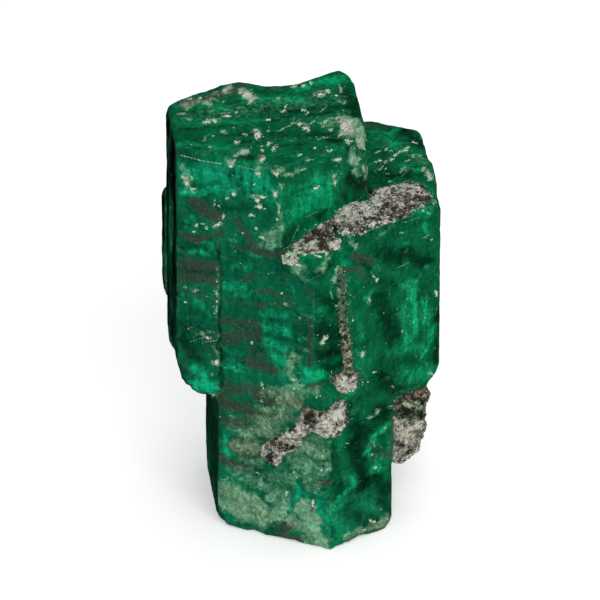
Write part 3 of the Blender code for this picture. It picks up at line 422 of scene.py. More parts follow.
# Tones of each body of schist, as strokes like those of the crystals.
SCHIST_STROKES = {
    "schist_on_ledge": (
        ("light", (332, 217, 346, 222, 6, 0.45), (342, 212, 372, 206, 8, 0.4),
         (362, 210, 372, 213, 5, 0.5), (376, 205, 383, 203, 2.5, 1.4), (384, 187, 406, 188, 4, 0.3),
         (373, 196, 381, 192, 5, 0.8), (384, 194, 384, 198, 2.5, 1.4), (392, 197, 395, 197, 2.5, 1.6),
         (403, 190, 405, 190, 2, 1.2), (412, 196, 415, 194, 3, 1.3), (388, 219, 391, 220, 3, 1.2),
         (380, 233, 385, 224, 4, 1.0), (374, 225, 377, 229, 2.5, 1.3), (372, 184, 400, 185, 2.5, 0.7),
         (283, 256, 300, 250, 5, 0.9), (292, 256, 326, 253, 3.5, 1.3), (300, 249, 318, 244, 6, 0.5),
         (333, 246, 336, 248, 3, 0.9), (316, 229, 319, 228, 3, 1.2), (344, 231, 350, 234, 4, 0.5)),
        ("dark", (317, 232, 322, 243, 4, 1.6), (325, 236, 343, 238, 4, 1.0),
         (357, 234, 378, 233, 3.5, 1.3), (365, 219, 379, 217, 4.5, 1.0), (386, 194, 388, 195, 3, 1.2),
         (390, 206, 402, 212, 6, 0.8), (408, 184, 428, 188, 6, 1.3), (415, 198, 428, 201, 5, 1.2),
         (414, 206, 420, 206, 4, 0.8), (300, 244, 307, 240, 3, 1.0), (350, 226, 368, 228, 5, 0.6),
         (325, 225, 345, 228, 3, 0.5), (390, 218, 400, 215, 3, 0.7)),
        ("brown", (343, 201, 350, 200, 7, 1.0), (309, 236, 315, 232, 5, 0.9),
         (398, 200, 406, 203, 6, 0.9), (408, 183, 428, 184, 6, 1.0), (310, 248, 330, 248, 5, 0.6),
         (374, 186, 384, 188, 5, 0.6)),
        ("green", (283, 257, 294, 254, 5, 0.6), (328, 212, 338, 206, 4, 0.8),
         (360, 203, 372, 200, 3, 0.8)),
    ),
    "schist_in_seam": (
        ("green", (337, 268, 344, 318, 8, 1.2), (344, 318, 349, 372, 6, 0.5)),
        ("light", (336, 266, 337, 276, 4, 0.4), (336, 287, 346, 288, 3, 1.0),
         (338, 380, 354, 386, 9, 1.0), (338, 391, 357, 390, 3.5, 1.8), (340, 379, 345, 381, 2.5, 1.3),
         (337, 385, 339, 390, 3, 0.8)),
        ("brown", (342, 318, 348, 370, 6, 0.9), (334, 376, 338, 382, 4, 0.8)),
        ("dark", (345, 322, 347, 340, 3, 0.5), (355, 381, 356, 383, 2, 1.2)),
        ("grown", (337, 296, 339, 340, 3, 1.1), (336, 266, 345, 322, 9, 0.45),
         (341, 336, 348, 370, 7, 0.25), (363, 366, 364, 394, 5, 1.8), (355, 364, 364, 368, 4, 1.5),
         (330, 366, 337, 369, 4, 1.5)),
    ),
    "schist_in_fracture": (
        ("light", (322, 425, 340, 417, 9, 1.1), (334, 402, 338, 413, 5, 1.2),
         (318, 429, 338, 429, 7, 1.0), (341, 414, 344, 423, 2.5, 1.2), (284, 439, 300, 431, 5, 0.5),
         (293, 444, 297, 448, 4, 0.8), (273, 459, 277, 463, 4, 0.7), (282, 453, 290, 453, 3, 0.6)),
        ("dark", (297, 416, 312, 416, 5, 1.7), (313, 421, 315, 422, 3, 1.6),
         (264, 441, 269, 457, 5, 1.5), (274, 441, 281, 446, 4, 1.2), (283, 447, 293, 449, 3.5, 1.2),
         (290, 430, 292, 430, 3, 0.8), (320, 414, 328, 408, 4, 0.7)),
        ("brown", (298, 410, 320, 414, 7, 1.0), (270, 440, 290, 446, 6, 0.7)),
        ("green", (326, 437, 332, 438, 3, 0.8)),
    ),
    "schist_lump": (
        ("light", (396, 420, 396, 456, 5, 0.5), (402, 428, 416, 444, 11, 0.35),
         (410, 427, 421, 424, 2.5, 1.2), (404, 402, 409, 405, 2.5, 1.8), (406, 432, 414, 444, 8, 0.5)),
        ("brown", (400, 424, 416, 446, 12, 0.35), (398, 398, 428, 390, 9, 1.2),
         (398, 396, 402, 404, 5, 0.9)),
        ("green", (400, 404, 422, 404, 8, 0.8), (402, 412, 422, 414, 8, 1.5)),
        ("dark", (404, 410, 420, 414, 7, 1.1), (398, 400, 424, 394, 8, 0.5),
         (418, 398, 424, 402, 4, 0.8), (400, 443, 403, 444, 3, 0.8), (402, 424, 410, 426, 2.5, 0.7),
         (418, 441, 408, 452, 4, 0.7)),
    ),
}

# How each body of schist differs: how far it swells, how rough it is, how much lighter it is, its
# contrast.
SCHIST_LOOKS = {
    "schist_on_ledge": (0.02 * MM, 1.0, 0.06, 1.2),
    "schist_in_seam": (-0.08 * MM, 0.5, -0.08, 0.75),
    "schist_in_fracture": (0.02 * MM, 0.7, 0.02, 0.9),
    "schist_lump": (0.02 * MM, 0.8, 0.02, 0.65),
}


# ---------------------------------------------------------------------------------------------
# settings


def number_setting(name, description, default, low=0.0, **more):
    """A number that the user can change."""
    return bpy.props.FloatProperty(
        name=name, description=description, default=default, min=low, **more
    )


def length_setting(name, description, default, low=0.0):
    """A length that the user can change."""
    return number_setting(name, description, default, low, unit="LENGTH", precision=5)


def color_setting(name, description, default):
    """A colour that the user can change."""
    return bpy.props.FloatVectorProperty(
        name=name, description=description, default=default, subtype="COLOR"
    )


class CrystalSettings(bpy.types.PropertyGroup):
    """Sizes and colours of the emerald."""

    mesh_size: length_setting(
        "Mesh size", "Size of the small faces that carry the crystals' relief", 0.345 * MM, 0.2 * MM
    )
    wear_width: length_setting(
        "Edge wear", "How far from an edge the chips and the wear reach", 0.95 * MM
    )
    edge_rounding: length_setting("Edge rounding", "How far the edges are worn back", 0.06 * MM)
    chip_depth: length_setting("Chip depth", "How deep the chips along the edges go", 0.1 * MM)
    pit_depth: length_setting("Pit depth", "How deep the small pits of the faces are", 0.2 * MM)
    top_growth: length_setting(
        "Top growth", "How far the tops have grown past the plain crystals", 0.52 * MM
    )
    # The deep green is also where the painted shade of the dark zones ends.
    deep_green: color_setting(
        "Deep green", "The crystals where they are dark all through", (0.0003, 0.006, 0.003)
    )
    body_green: color_setting("Body green", "The crystals' common green", (0.0004, 0.172, 0.071))
    # The bright green is partly painted sheen: light given back from inside the crystals.
    bright_green: color_setting(
        "Bright green", "The clear zones that light comes back from", (0.001, 0.56, 0.275)
    )
    cloud_brown: color_setting(
        "Brown cloud", "Grey-brown clouds of fine mica inside the crystals", (0.055, 0.058, 0.046)
    )
    pale_green: color_setting("Pale green", "Bruised and crumbly zones", (0.215, 0.45, 0.26))
    leaf_tint: color_setting(
        "Leaf tint", "What turns the greens from bluish to pure green", (0.9, 1.0, 0.82)
    )
    mica_cream: color_setting("Mica cream", "The lightest flecks", (0.80, 0.78, 0.66))


class SchistSettings(bpy.types.PropertyGroup):
    """Sizes and colours of the schist."""

    mesh_size: length_setting(
        "Mesh size", "Size of the small faces that carry the schist's grain", 0.15 * MM, 0.1 * MM
    )
    plate_size: length_setting("Plate size", "Usual size of a mica plate", 0.42 * MM, 0.1 * MM)
    plates_per_square_mm: number_setting("Plates", "Mica plates on each square millimetre", 5.0)
    silver: color_setting("Silver mica", "Fresh mica", (0.66, 0.66, 0.60))
    grey: color_setting("Grey schist", "The common grey", (0.23, 0.225, 0.20))
    dark: color_setting("Dark mica", "Dark brown mica", (0.028, 0.021, 0.016))
    rust: color_setting("Rust", "Tint of the brown stained parts", (1.0, 0.82, 0.64))
    emerald: color_setting(
        "Emerald", "Emerald that has grown through the schist", (0.004, 0.125, 0.056)
    )
    moss: color_setting("Green tint", "Tint of the parts with emerald in them", (0.42, 0.74, 0.46))


class StudioSettings(bpy.types.PropertyGroup):
    """Camera, light and floor."""

    distance: length_setting(
        "Camera distance", "From the middle of the group to the camera", 1.4, 0.3
    )
    lens: number_setting("Lens", "Focal length in millimetres", 600.0, 50.0)
    elevation: number_setting(
        "Camera elevation", "How far the camera looks down", math.radians(30.0), subtype="ANGLE"
    )
    target_height: length_setting(
        "Target height", "Height of the point that the camera looks at", 0.0301
    )
    key_power: number_setting("Key light", "Power of the large front light", 1.6, unit="POWER")
    top_power: number_setting("Top light", "Power of the light above", 1.0, unit="POWER")
    fill_strength: number_setting("Fill", "Strength of the even light all round", 0.4)
    floor_glow: number_setting(
        "Floor glow", "Light that the white floor gives off, as a light table does", 0.35
    )
    floor_color: color_setting("Floor", "Colour of the floor", (0.93, 0.93, 0.93))


# ---------------------------------------------------------------------------------------------
# mesh helpers


def deselect():
    """Leave edit mode and select nothing."""
    if bpy.context.object and bpy.context.object.mode != "OBJECT":
        bpy.ops.object.mode_set(mode="OBJECT")
    for thing in bpy.context.selected_objects:
        thing.select_set(False)


def make_active(piece):
    """Select one object alone and make it the active one."""
    deselect()
    piece.select_set(True)
    bpy.context.view_layer.objects.active = piece


def edit_whole(piece, operation, **options):
    """Run one mesh operation over all of a piece."""
    make_active(piece)
    bpy.ops.object.mode_set(mode="EDIT")
    bpy.ops.mesh.select_all(action="SELECT")
    operation(**options)
    bpy.ops.object.mode_set(mode="OBJECT")


def merged_copy(node, name):
    """A copy of a node of the frame, with its loose triangles merged."""
    piece = frame["nodes"][node].copy()
    piece.data = frame["nodes"][node].data.copy()
    piece.name = piece.data.name = name
    piece.parent = None
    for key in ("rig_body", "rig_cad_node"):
        del piece[key]
    piece.data.materials.clear()
    bpy.context.scene.collection.objects.link(piece)
    edit_whole(piece, bpy.ops.mesh.remove_doubles, threshold=MERGE_DISTANCE)
    return piece


def surface(piece):
    """A search tree over the faces of a piece."""
    return BVHTree.FromObject(piece, bpy.context.evaluated_depsgraph_get())


def read(items, name, width=1):
    """One number, or a row of them, of each item of a mesh."""
    values = np.empty(len(items) * width)
    items.foreach_get(name, values)
    return values.reshape(-1, width) if width > 1 else values


def remesh(piece, size):
    """Give a piece even faces of one size."""
    make_active(piece)
    modifier = piece.modifiers.new("Even faces", "REMESH")
    modifier.mode = "VOXEL"
    modifier.voxel_size = size
    bpy.ops.object.modifier_apply(modifier=modifier.name)


def points_of(piece):
    """The vertices' places as an array."""
    return read(piece.data.vertices, "co", 3)


def normals_of(piece):
    """The vertices' normals as an array."""
    return read(piece.data.vertex_normals, "vector", 3)


def move_points(piece, places):
    """Put the vertices at these places."""
    piece.data.vertices.foreach_set("co", places.ravel())
    piece.data.update()


def store(piece, name, values):
    """Keep one number for each vertex, for the material to read."""
    layer = piece.data.attributes.new(name, "FLOAT", "POINT")
    layer.data.foreach_set("value", np.asarray(values, np.float32))


def ease(low, high, values):
    """0 below low, 1 above high, and a smooth step between."""
    t = np.clip((values - low) / (high - low), 0.0, 1.0)
    return t * t * (3 - 2 * t)


def scramble(cells, seed):
    """An even random number from 0 to 1 for each whole-numbered cell."""
    mixed = (
        (cells[:, 0] * 73856093)
        ^ (cells[:, 1] * 19349663)
        ^ (cells[:, 2] * 83492791)
        ^ (seed * 2654435761)
    ) & 0xFFFFFFFF
    mixed = ((mixed ^ (mixed >> 15)) * 2246822519) & 0xFFFFFFFF
    mixed = ((mixed ^ (mixed >> 13)) * 3266489917) & 0xFFFFFFFF
    return ((mixed ^ (mixed >> 16)) & 0xFFFF) / 65535.0


def noise(places, size, seed):
    """Smooth noise from -1 to 1, with forms of about that size."""
    scaled = places / np.asarray(size, float) + seed * 3.17
    cell = np.floor(scaled).astype(np.int64)
    part = scaled - cell
    part = part * part * (3 - 2 * part)
    total = np.zeros(len(places))
    for corner in np.ndindex(2, 2, 2):
        share = np.ones(len(places))
        for axis in range(3):
            share *= part[:, axis] if corner[axis] else 1 - part[:, axis]
        total += share * (scramble(cell + np.array(corner), seed) * 2 - 1)
    return total


def layered_noise(places, size, seed, layers=3):
    """Noise with finer noise added, each layer half the size and half the height."""
    size = np.asarray(size, float)
    return sum(noise(places, size / 2**k, seed + k) / 2**k for k in range(layers))


def grains(places, size, seed):
    """For each place, the distance to the nearest grain's middle and that grain's number."""
    scaled = places / size
    cell = np.floor(scaled).astype(np.int64)
    nearest = np.full(len(places), 9.0)
    number = np.zeros(len(places))
    for step in np.ndindex(3, 3, 3):
        other = cell + np.array(step) - 1
        middle = other + np.stack([scramble(other, seed + k) for k in range(3)], 1)
        away = np.linalg.norm(scaled - middle, axis=1)
        closer = away < nearest
        nearest = np.where(closer, away, nearest)
        number = np.where(closer, scramble(other, seed + 3), number)
    return nearest * size, number


# ---------------------------------------------------------------------------------------------
# places seen by the camera


def camera_axes():
    """The camera's place, and its backward, rightward and upward directions."""
    studio = bpy.context.scene.studio_settings
    back = Vector((0, -math.cos(studio.elevation), math.sin(studio.elevation)))
    up = Vector((0, math.sin(studio.elevation), math.cos(studio.elevation)))
    place = Vector((0, 0, studio.target_height)) + back * studio.distance
    return place, back, Vector((1, 0, 0)), up


def camera_ray(x, y):
    """Start and direction of the ray through a place of the camera's frame."""
    place, back, right, up = camera_axes()
    spread = SENSOR_WIDTH / bpy.context.scene.studio_settings.lens
    across = (x - FRAME_WIDTH / 2) / FRAME_WIDTH * spread
    down = (y - FRAME_WIDTH / 2) / FRAME_WIDTH * spread
    return place, (right * across - up * down - back).normalized()


def frame_unit():
    """Size of one unit of the camera's frame at the group."""
    studio = bpy.context.scene.studio_settings
    return SENSOR_WIDTH / studio.lens * studio.distance / FRAME_WIDTH


def landing(tree, x, y):
    """The point and normal that the camera sees at a place of its frame, or the nearest to it."""
    start, direction = camera_ray(x, y)
    point, normal, _, _ = tree.ray_cast(start, direction)
    if point is None:
        reach = bpy.context.scene.studio_settings.distance
        for _ in range(4):
            point, normal, _, _ = tree.find_nearest(start + direction * reach)
            reach = (point - start).dot(direction)
    return point, normal


# ---------------------------------------------------------------------------------------------
# materials


def add(tree, kind, inputs=None, **settings):
    """A shader node with its settings, and its inputs set to a value or linked to an output."""
    made = tree.nodes.new(kind)
    for name, value in settings.items():
        setattr(made, name, value)
    for name, value in (inputs or {}).items():
        if isinstance(value, bpy.types.NodeSocket):
            tree.links.new(value, made.inputs[name])
        else:
            made.inputs[name].default_value = value
    return made


def math_node(tree, operation, a, b=0.0):
    """One sum of two numbers."""
    return add(tree, "ShaderNodeMath", {0: a, 1: b}, operation=operation).outputs[0]


def times(tree, a, b):
    """The product of two numbers."""
    return math_node(tree, "MULTIPLY", a, b)


def vector_node(tree, operation, inputs):
    """One sum of two vectors."""
    return add(tree, "ShaderNodeVectorMath", inputs, operation=operation).outputs[0]


def step_node(tree, value, low, high):
    """A smooth step from 0 to 1."""
    inputs = {"Value": value, "From Min": low, "From Max": high}
    made = add(tree, "ShaderNodeMapRange", inputs, interpolation_type="SMOOTHSTEP")
    return made.outputs["Result"]


def blend_node(tree, share, first, second, kind="MIX"):
    """Two colours blended."""
    inputs = {0: share}
    for socket, color in ((6, first), (7, second)):
        linked = isinstance(color, bpy.types.NodeSocket)
        inputs[socket] = color if linked else (*color, 1.0)
    made = add(tree, "ShaderNodeMix", inputs, data_type="RGBA", blend_type=kind)
    return made.outputs[2]


def cover(tree, share, most, color, over):
    """A colour laid over another, at most so much of it."""
    return blend_node(tree, times(tree, share, most), color, over)


def noise_node(tree, vector, scale, detail=4.0, roughness=0.55, distortion=0.0):
    """Noise from 0 to 1 on a piece."""
    inputs = {"Vector": vector, "Scale": scale, "Detail": detail, "Roughness": roughness}
    inputs["Distortion"] = distortion
    return add(tree, "ShaderNodeTexNoise", inputs).outputs["Fac"]


def stretched(tree, vector, scale):
    """A vector scaled by its own amount along each axis."""
    made = add(tree, "ShaderNodeMapping", {"Vector": vector, "Scale": scale})
    return made.outputs["Vector"]


def attribute_node(tree, name):
    """A number kept on the piece."""
    return add(tree, "ShaderNodeAttribute", attribute_name=name).outputs["Fac"]


def weighted(tree, start, *parts):
    """A start value plus several outputs, each as (output, weight, its middle value or 0.5)."""
    total = start
    for output, weight, *middle in parts:
        share = math_node(tree, "SUBTRACT", output, middle[0] if middle else 0.5)
        total = math_node(tree, "ADD", times(tree, share, weight), total)
    return total


def ragged_zone(tree, name, weight, low, high, *parts):
    """A number kept on the piece as a zone, 0 outside and 1 inside, with noise at its border."""
    total = weighted(tree, 0.0, (attribute_node(tree, name), weight, 0.0), *parts)
    return step_node(tree, total, low, high)


def ramp_node(tree, value, *stops):
    """The colour of a ramp at a value, its stops as (place, colour)."""
    made = add(tree, "ShaderNodeValToRGB", {"Fac": value})
    elements = made.color_ramp.elements
    while len(elements) < len(stops):
        elements.new(0.5)
    for element, (place, color) in zip(elements, stops):
        element.position = place
        element.color = (*color, 1.0)
    return made.outputs["Color"]


def shade(color, factor):
    """A colour made lighter or darker."""
    return tuple(factor * c for c in color)


def between(first, second, factor=0.5):
    """The sum of two colours times a factor: half of it is the colour between them."""
    return tuple(factor * (a + b) for a, b in zip(first, second))


def wire(tree, shader, color, roughness, height, strength, distance):
    """Link a colour, a roughness and a bump to the surface shader."""
    inputs = {"Height": height, "Strength": strength, "Distance": distance}
    bump = add(tree, "ShaderNodeBump", inputs)
    tree.links.new(color, shader.inputs["Base Color"])
    tree.links.new(roughness, shader.inputs["Roughness"])
    tree.links.new(bump.outputs["Normal"], shader.inputs["Normal"])


def spots(tree, vector, scale, density, size):
    """Irregular spots: 1 inside a spot. Density is the share of cells that have one."""
    inputs = {"Vector": vector, "Scale": scale, "Randomness": 1.0}
    cells = add(tree, "ShaderNodeTexVoronoi", inputs).outputs
    chance = add(tree, "ShaderNodeSeparateColor", {"Color": cells["Color"]}).outputs[0]
    present = math_node(tree, "LESS_THAN", chance, density)
    border = 0.08
    near = step_node(tree, cells["Distance"], size + border, size - border)
    return times(tree, present, near)


def new_material(name):
    """A material with a single surface shader, and its tree."""
    material = bpy.data.materials.new(name)
    material.use_nodes = True
    return material, material.node_tree, material.node_tree.nodes["Principled BSDF"]


def emerald_material(settings):
    """Included emerald: zones, clouds, streaks, specks and fine growth lines, with painted sheen and
    shade in some zones.
    """
    material, tree, shader = new_material("included_emerald")
    place = add(tree, "ShaderNodeTexCoord").outputs["Object"]
    inputs = {"Vector": place, "Scale": 420.0, "Detail": 4.0, "Roughness": 0.6}
    warp = add(tree, "ShaderNodeTexNoise", inputs).outputs["Color"]
    centred = vector_node(tree, "SUBTRACT", {0: warp, 1: (0.5, 0.5, 0.5)})
    shift = vector_node(tree, "SCALE", {0: centred, "Scale": 1.0 * MM})
    warped = vector_node(tree, "ADD", {0: place, 1: shift})

    clouds = noise_node(tree, warped, 150.0, 7.0, 0.62)
    layers = noise_node(tree, stretched(tree, warped, (150, 150, 800)), 1.0, 6.0, 0.62)
    fibres = noise_node(tree, stretched(tree, warped, (1300, 1300, 210)), 1.0, 5.0, 0.6)
    fine = noise_node(tree, warped, 1400.0, 5.0, 0.65)
    mottle = noise_node(tree, warped, 2300.0, 5.0, 0.7)
    soft = noise_node(tree, warped, 520.0, 6.0, 0.62)

    # The bright zones are partly clearer crystal and partly painted sheen and glints.
    brightness_and_sheen = weighted(tree, 0.3, (fine, 0.7), (fibres, 0.9), (mottle, 0.7))
    brightness_and_sheen = times(tree, attribute_node(tree, "bright"), brightness_and_sheen)
    # The dark zones are partly darker crystal and partly painted shade: faces turned left, the gap
    # beside the left block, under the crystal at the right.
    darkness_and_shade = weighted(tree, 0.33, (soft, 0.5), (mottle, 0.3))
    darkness_and_shade = times(tree, attribute_node(tree, "dark"), darkness_and_shade)
    tone = weighted(
        tree, 0.5, (clouds, 0.65), (layers, 0.14), (fibres, 0.3), (fine, 0.45), (mottle, 0.28),
        (brightness_and_sheen, 1.0, 0.0), (darkness_and_shade, -1.0, 0.0),
    )
    deep, body, bright = settings.deep_green, settings.body_green, settings.bright_green
    color = ramp_node(
        tree, tone, (0.06, deep), (0.34, shade(body, 0.34)), (0.56, body),
        (0.8, between(body, bright)), (1.0, bright),
    )
    leaf = weighted(tree, 0.0, (attribute_node(tree, "leaf"), 1.0, 0.0), (clouds, 1.2))
    color = blend_node(tree, leaf, color, settings.leaf_tint, "MULTIPLY")

    brown, pale, cream = settings.cloud_brown, settings.pale_green, settings.mica_cream
    brown_mix = ramp_node(
        tree, weighted(tree, 0.5, (mottle, 2.0)),
        (0.1, shade(brown, 0.4)), (0.5, brown), (0.95, shade(brown, 1.8)),
    )
    cloudy = ragged_zone(
        tree, "brown", 1.1, 0.2, 1.2, (layers, 0.3), (soft, 1.1), (fine, 0.7), (mottle, 0.6)
    )
    color = cover(tree, cloudy, 0.85, color, brown_mix)

    pale_mix = ramp_node(
        tree, weighted(tree, 0.5, (mottle, 1.5), (fine, 1.1), (soft, 0.9)),
        (0.1, shade(pale, 0.35)), (0.5, pale), (0.95, shade(pale, 2.2)),
    )
    stain = (1.0, 0.62, 0.6)
    pale_mix = blend_node(tree, attribute_node(tree, "brown"), pale_mix, stain, "MULTIPLY")
    bruised = ragged_zone(tree, "pale", 1.15, 0.27, 1.5, (soft, 0.9), (fine, 1.0), (mottle, 0.9))
    color = cover(tree, bruised, 0.85, color, pale_mix)

    white_mix = ramp_node(
        tree, weighted(tree, 0.55, (mottle, 1.7), (fine, 0.9)),
        (0.1, shade(pale, 0.8)), (0.5, shade(cream, 0.6)), (0.9, cream),
    )
    whitened = ragged_zone(tree, "white", 1.0, 0.3, 1.35, (soft, 0.9), (fine, 1.6), (mottle, 1.6))
    color = cover(tree, whitened, 0.9, color, white_mix)

    blotch = noise_node(tree, warped, 2500.0, 5.0, 0.7)
    speck = weighted(tree, 0.0, (blotch, 1.0), (attribute_node(tree, "fleck"), 0.15, 0.0))
    core = step_node(tree, speck, 0.24, 0.36)
    speck = step_node(tree, speck, 0.13, 0.27)
    speck = math_node(tree, "MAXIMUM", speck, spots(tree, warped, 2600.0, 0.009, 0.27))
    speck_color = blend_node(tree, core, shade(pale, 1.1), cream)
    color = cover(tree, speck, 0.85, color, speck_color)

    crack = noise_node(tree, stretched(tree, warped, (260, 260, 330)), 1.0, 3.0, 0.5, 0.8)
    crack = math_node(tree, "ABSOLUTE", math_node(tree, "SUBTRACT", crack, 0.5))
    crack = times(tree, step_node(tree, crack, 0.007, 0.001), step_node(tree, fine, 0.5, 0.75))
    color = cover(tree, crack, 0.3, color, pale)
    worn = ragged_zone(tree, "wear", 1.0, 0.8, 1.6, (soft, 2.2), (mottle, 0.8))
    color = cover(tree, worn, 0.25, color, pale_mix)

    shine = weighted(tree, 0.2, (fine, 0.35, 0.0), (bruised, 0.25, 0.0))
    lines = noise_node(tree, stretched(tree, place, (3600, 3600, 160)), 1.0, 3.0, 0.5)
    height = weighted(tree, fine, (lines, 0.5, 0.0), (mottle, 0.6, 0.0), (speck, 0.35, 0.0))
    wire(tree, shader, color, shine, height, 0.55, 0.12 * MM)
    shader.inputs["Specular IOR Level"].default_value = 0.3
    shader.inputs["Specular Tint"].default_value = (0.05, 1.0, 0.6, 1.0)
    shader.inputs["IOR"].default_value = 1.58
    shader.inputs["Subsurface Weight"].default_value = 0.0
    shader.inputs["Transmission Weight"].default_value = 0.3
    return material


def schist_material(settings):
    """Granular schist: silver, grey and dark mica, with the plates' own tones."""
    material, tree, shader = new_material("mica_schist")
    place = add(tree, "ShaderNodeTexCoord").outputs["Object"]
    cells = add(tree, "ShaderNodeTexVoronoi", {"Vector": place, "Scale": 2700.0}).outputs
    picks = add(tree, "ShaderNodeSeparateColor", {"Color": cells["Color"]}).outputs
    pick, stain_pick = picks[0], picks[1]
    rough = noise_node(tree, place, 900.0, 5.0, 0.65)
    hue = noise_node(tree, place, 1500.0, 4.0, 0.65)
    fine = noise_node(tree, place, 5200.0, 3.0, 0.6)
    tone = weighted(
        tree, 0.0, (attribute_node(tree, "tone"), 1.0, 0.0), (pick, 0.5), (rough, 0.8)
    )
    dark, grey, silver = settings.dark, settings.grey, settings.silver
    color = ramp_node(
        tree, tone, (0.1, dark), (0.28, between(dark, grey, 0.3)), (0.5, grey),
        (0.7, between(grey, silver)), (0.95, silver),
    )
    stains = (("brown", settings.rust, 0.7, 2.4), ("green", settings.moss, -0.5, -1.6))
    for name, tint, by_pick, by_hue in stains:
        attribute = attribute_node(tree, name)
        share = weighted(
            tree, 0.1, (attribute, 1.0, 0.0), (stain_pick, by_pick), (hue, by_hue)
        )
        color = blend_node(tree, share, color, tint, "MULTIPLY")
    ingrown = ragged_zone(tree, "grown", 1.0, 0.3, 0.7, (rough, 1.0), (pick, 0.5))
    color = blend_node(tree, ingrown, color, settings.emerald)
    shine = weighted(tree, 0.2, (fine, 0.4, 0.0))
    wire(tree, shader, color, shine, math_node(tree, "ADD", fine, pick), 0.6, 0.08 * MM)
    shader.inputs["Specular IOR Level"].default_value = 0.5
    return material


def mica_material(settings):
    """Cream and silver mica flecks on the crystals."""
    material, tree, shader = new_material("mica_flecks")
    place = add(tree, "ShaderNodeTexCoord").outputs["Object"]
    fine = noise_node(tree, place, 5200.0, 4.0, 0.65)
    tone = weighted(tree, attribute_node(tree, "tone"), (fine, 1.1))
    pale, cream = settings.pale_green, settings.mica_cream
    color = ramp_node(tree, tone, (0.0, shade(pale, 0.5)), (0.4, pale), (0.85, cream))
    shine = weighted(tree, 0.25, (fine, 0.4, 0.0))
    wire(tree, shader, color, shine, fine, 0.5, 0.08 * MM)
    shader.inputs["Specular IOR Level"].default_value = 0.4
    return material


def studio_material(name, color, roughness, glow):
    """A plain stage surface with a faint tooth."""
    material, tree, shader = new_material(name)
    place = add(tree, "ShaderNodeTexCoord").outputs["Object"]
    grain = noise_node(tree, place, 60.0, 3.0, 0.5)
    surface_color = blend_node(tree, grain, color, shade(color, 0.99))
    tree.links.new(surface_color, shader.inputs["Base Color"])
    shader.inputs["Roughness"].default_value = roughness
    shader.inputs["Specular IOR Level"].default_value = 0.1
    shader.inputs["Emission Color"].default_value = (1.0, 1.0, 1.0, 1.0)
    shader.inputs["Emission Strength"].default_value = glow
    return material


# ---------------------------------------------------------------------------------------------
# the crystals


def crease_points(piece, least_angle=15.0, spacing=0.06 * MM):
    """Points along the sharp edges of a mesh, and whether each lies on an outward edge."""
    mesh = bmesh.new()
    mesh.from_mesh(piece.data)
    points, outward = [], []
    for edge in mesh.edges:
        if not edge.is_manifold:
            continue
        angle = edge.calc_face_angle_signed(0.0)
        if abs(angle) < math.radians(least_angle):
            continue
        a, b = edge.verts[0].co, edge.verts[1].co
        count = max(1, int((b - a).length / spacing))
        for k in range(count + 1):
            points.append(a.lerp(b, k / count))
            outward.append(angle > 0)
    mesh.free()
    return points, outward


def tree_of(points):
    """A search tree over points."""
    tree = KDTree(len(points))
    for k, point in enumerate(points):
        tree.insert(point, k)
    tree.balance()
    return tree


def snap_to_creases(piece, points, reach):
    """Pull the vertices next to a sharp edge onto it, so that remeshed edges stay crisp."""
    tree = tree_of(points)
    places = points_of(piece)
    for k, place in enumerate(places):
        point, _, away = tree.find(place)
        if away < reach:
            places[k] = point
    move_points(piece, places)


def smooth_near(piece, places, strength, rounds):
    """Draw each vertex towards the mean of its neighbours, by its own strength."""
    ends = np.empty(len(piece.data.edges) * 2, np.int64)
    piece.data.edges.foreach_get("vertices", ends)
    first, second = ends.reshape(-1, 2).T
    count = np.bincount(ends, minlength=len(places))
    for _ in range(rounds):
        total = np.stack([
            np.bincount(first, places[second, k], len(places))
            + np.bincount(second, places[first, k], len(places))
            for k in range(3)
        ], 1)
        places = places + strength[:, None] * (total / count[:, None] - places)
    return places


def distances(places, points):
    """Distance from each place to the nearest of the points."""
    tree = tree_of(points)
    return np.array([tree.find(place)[2] for place in places])


def stroke_weight(places, start, end, radius):
    """1 at the middle of a stroke, falling to 0 at its border."""
    start, end = np.array(start), np.array(end)
    along = end - start
    length = max(float(along @ along), 1e-12)
    share = np.clip((places - start) @ along / length, 0.0, 1.0)
    away = np.linalg.norm(places - start - share[:, None] * along, axis=1)
    return 1 - ease(0.05, 1.45, away / radius)


def wobbled(places, size, reach, seed, layers):
    """The places, each moved at random, at most by about so many millimetres."""
    wobble = [layered_noise(places, size, seed + 7 * k, layers) for k in range(3)]
    return places + np.stack(wobble, 1) * reach * MM


def paint(found, places, tree, strokes, join):
    """Add the strokes' strengths at the places to those found, joined by a function."""
    unit = frame_unit()
    for kind, *rows in strokes:
        for x, y, to_x, to_y, radius, strength in rows:
            start, _ = landing(tree, x, y)
            end, _ = landing(tree, to_x, to_y)
            weight = stroke_weight(places, start, end, radius * unit) * strength
            found[kind] = join(found[kind], weight)


def halo(x, y, width, height, turn, light):
    """The stroke under a blotch, along its longer side."""
    turn = math.radians(turn + (90 if height > width else 0))
    reach = abs(width - height) / 2
    across, down = reach * math.cos(turn), -reach * math.sin(turn)
    return x - across, y - down, x + across, y + down, min(width, height) / 2 + 1, light


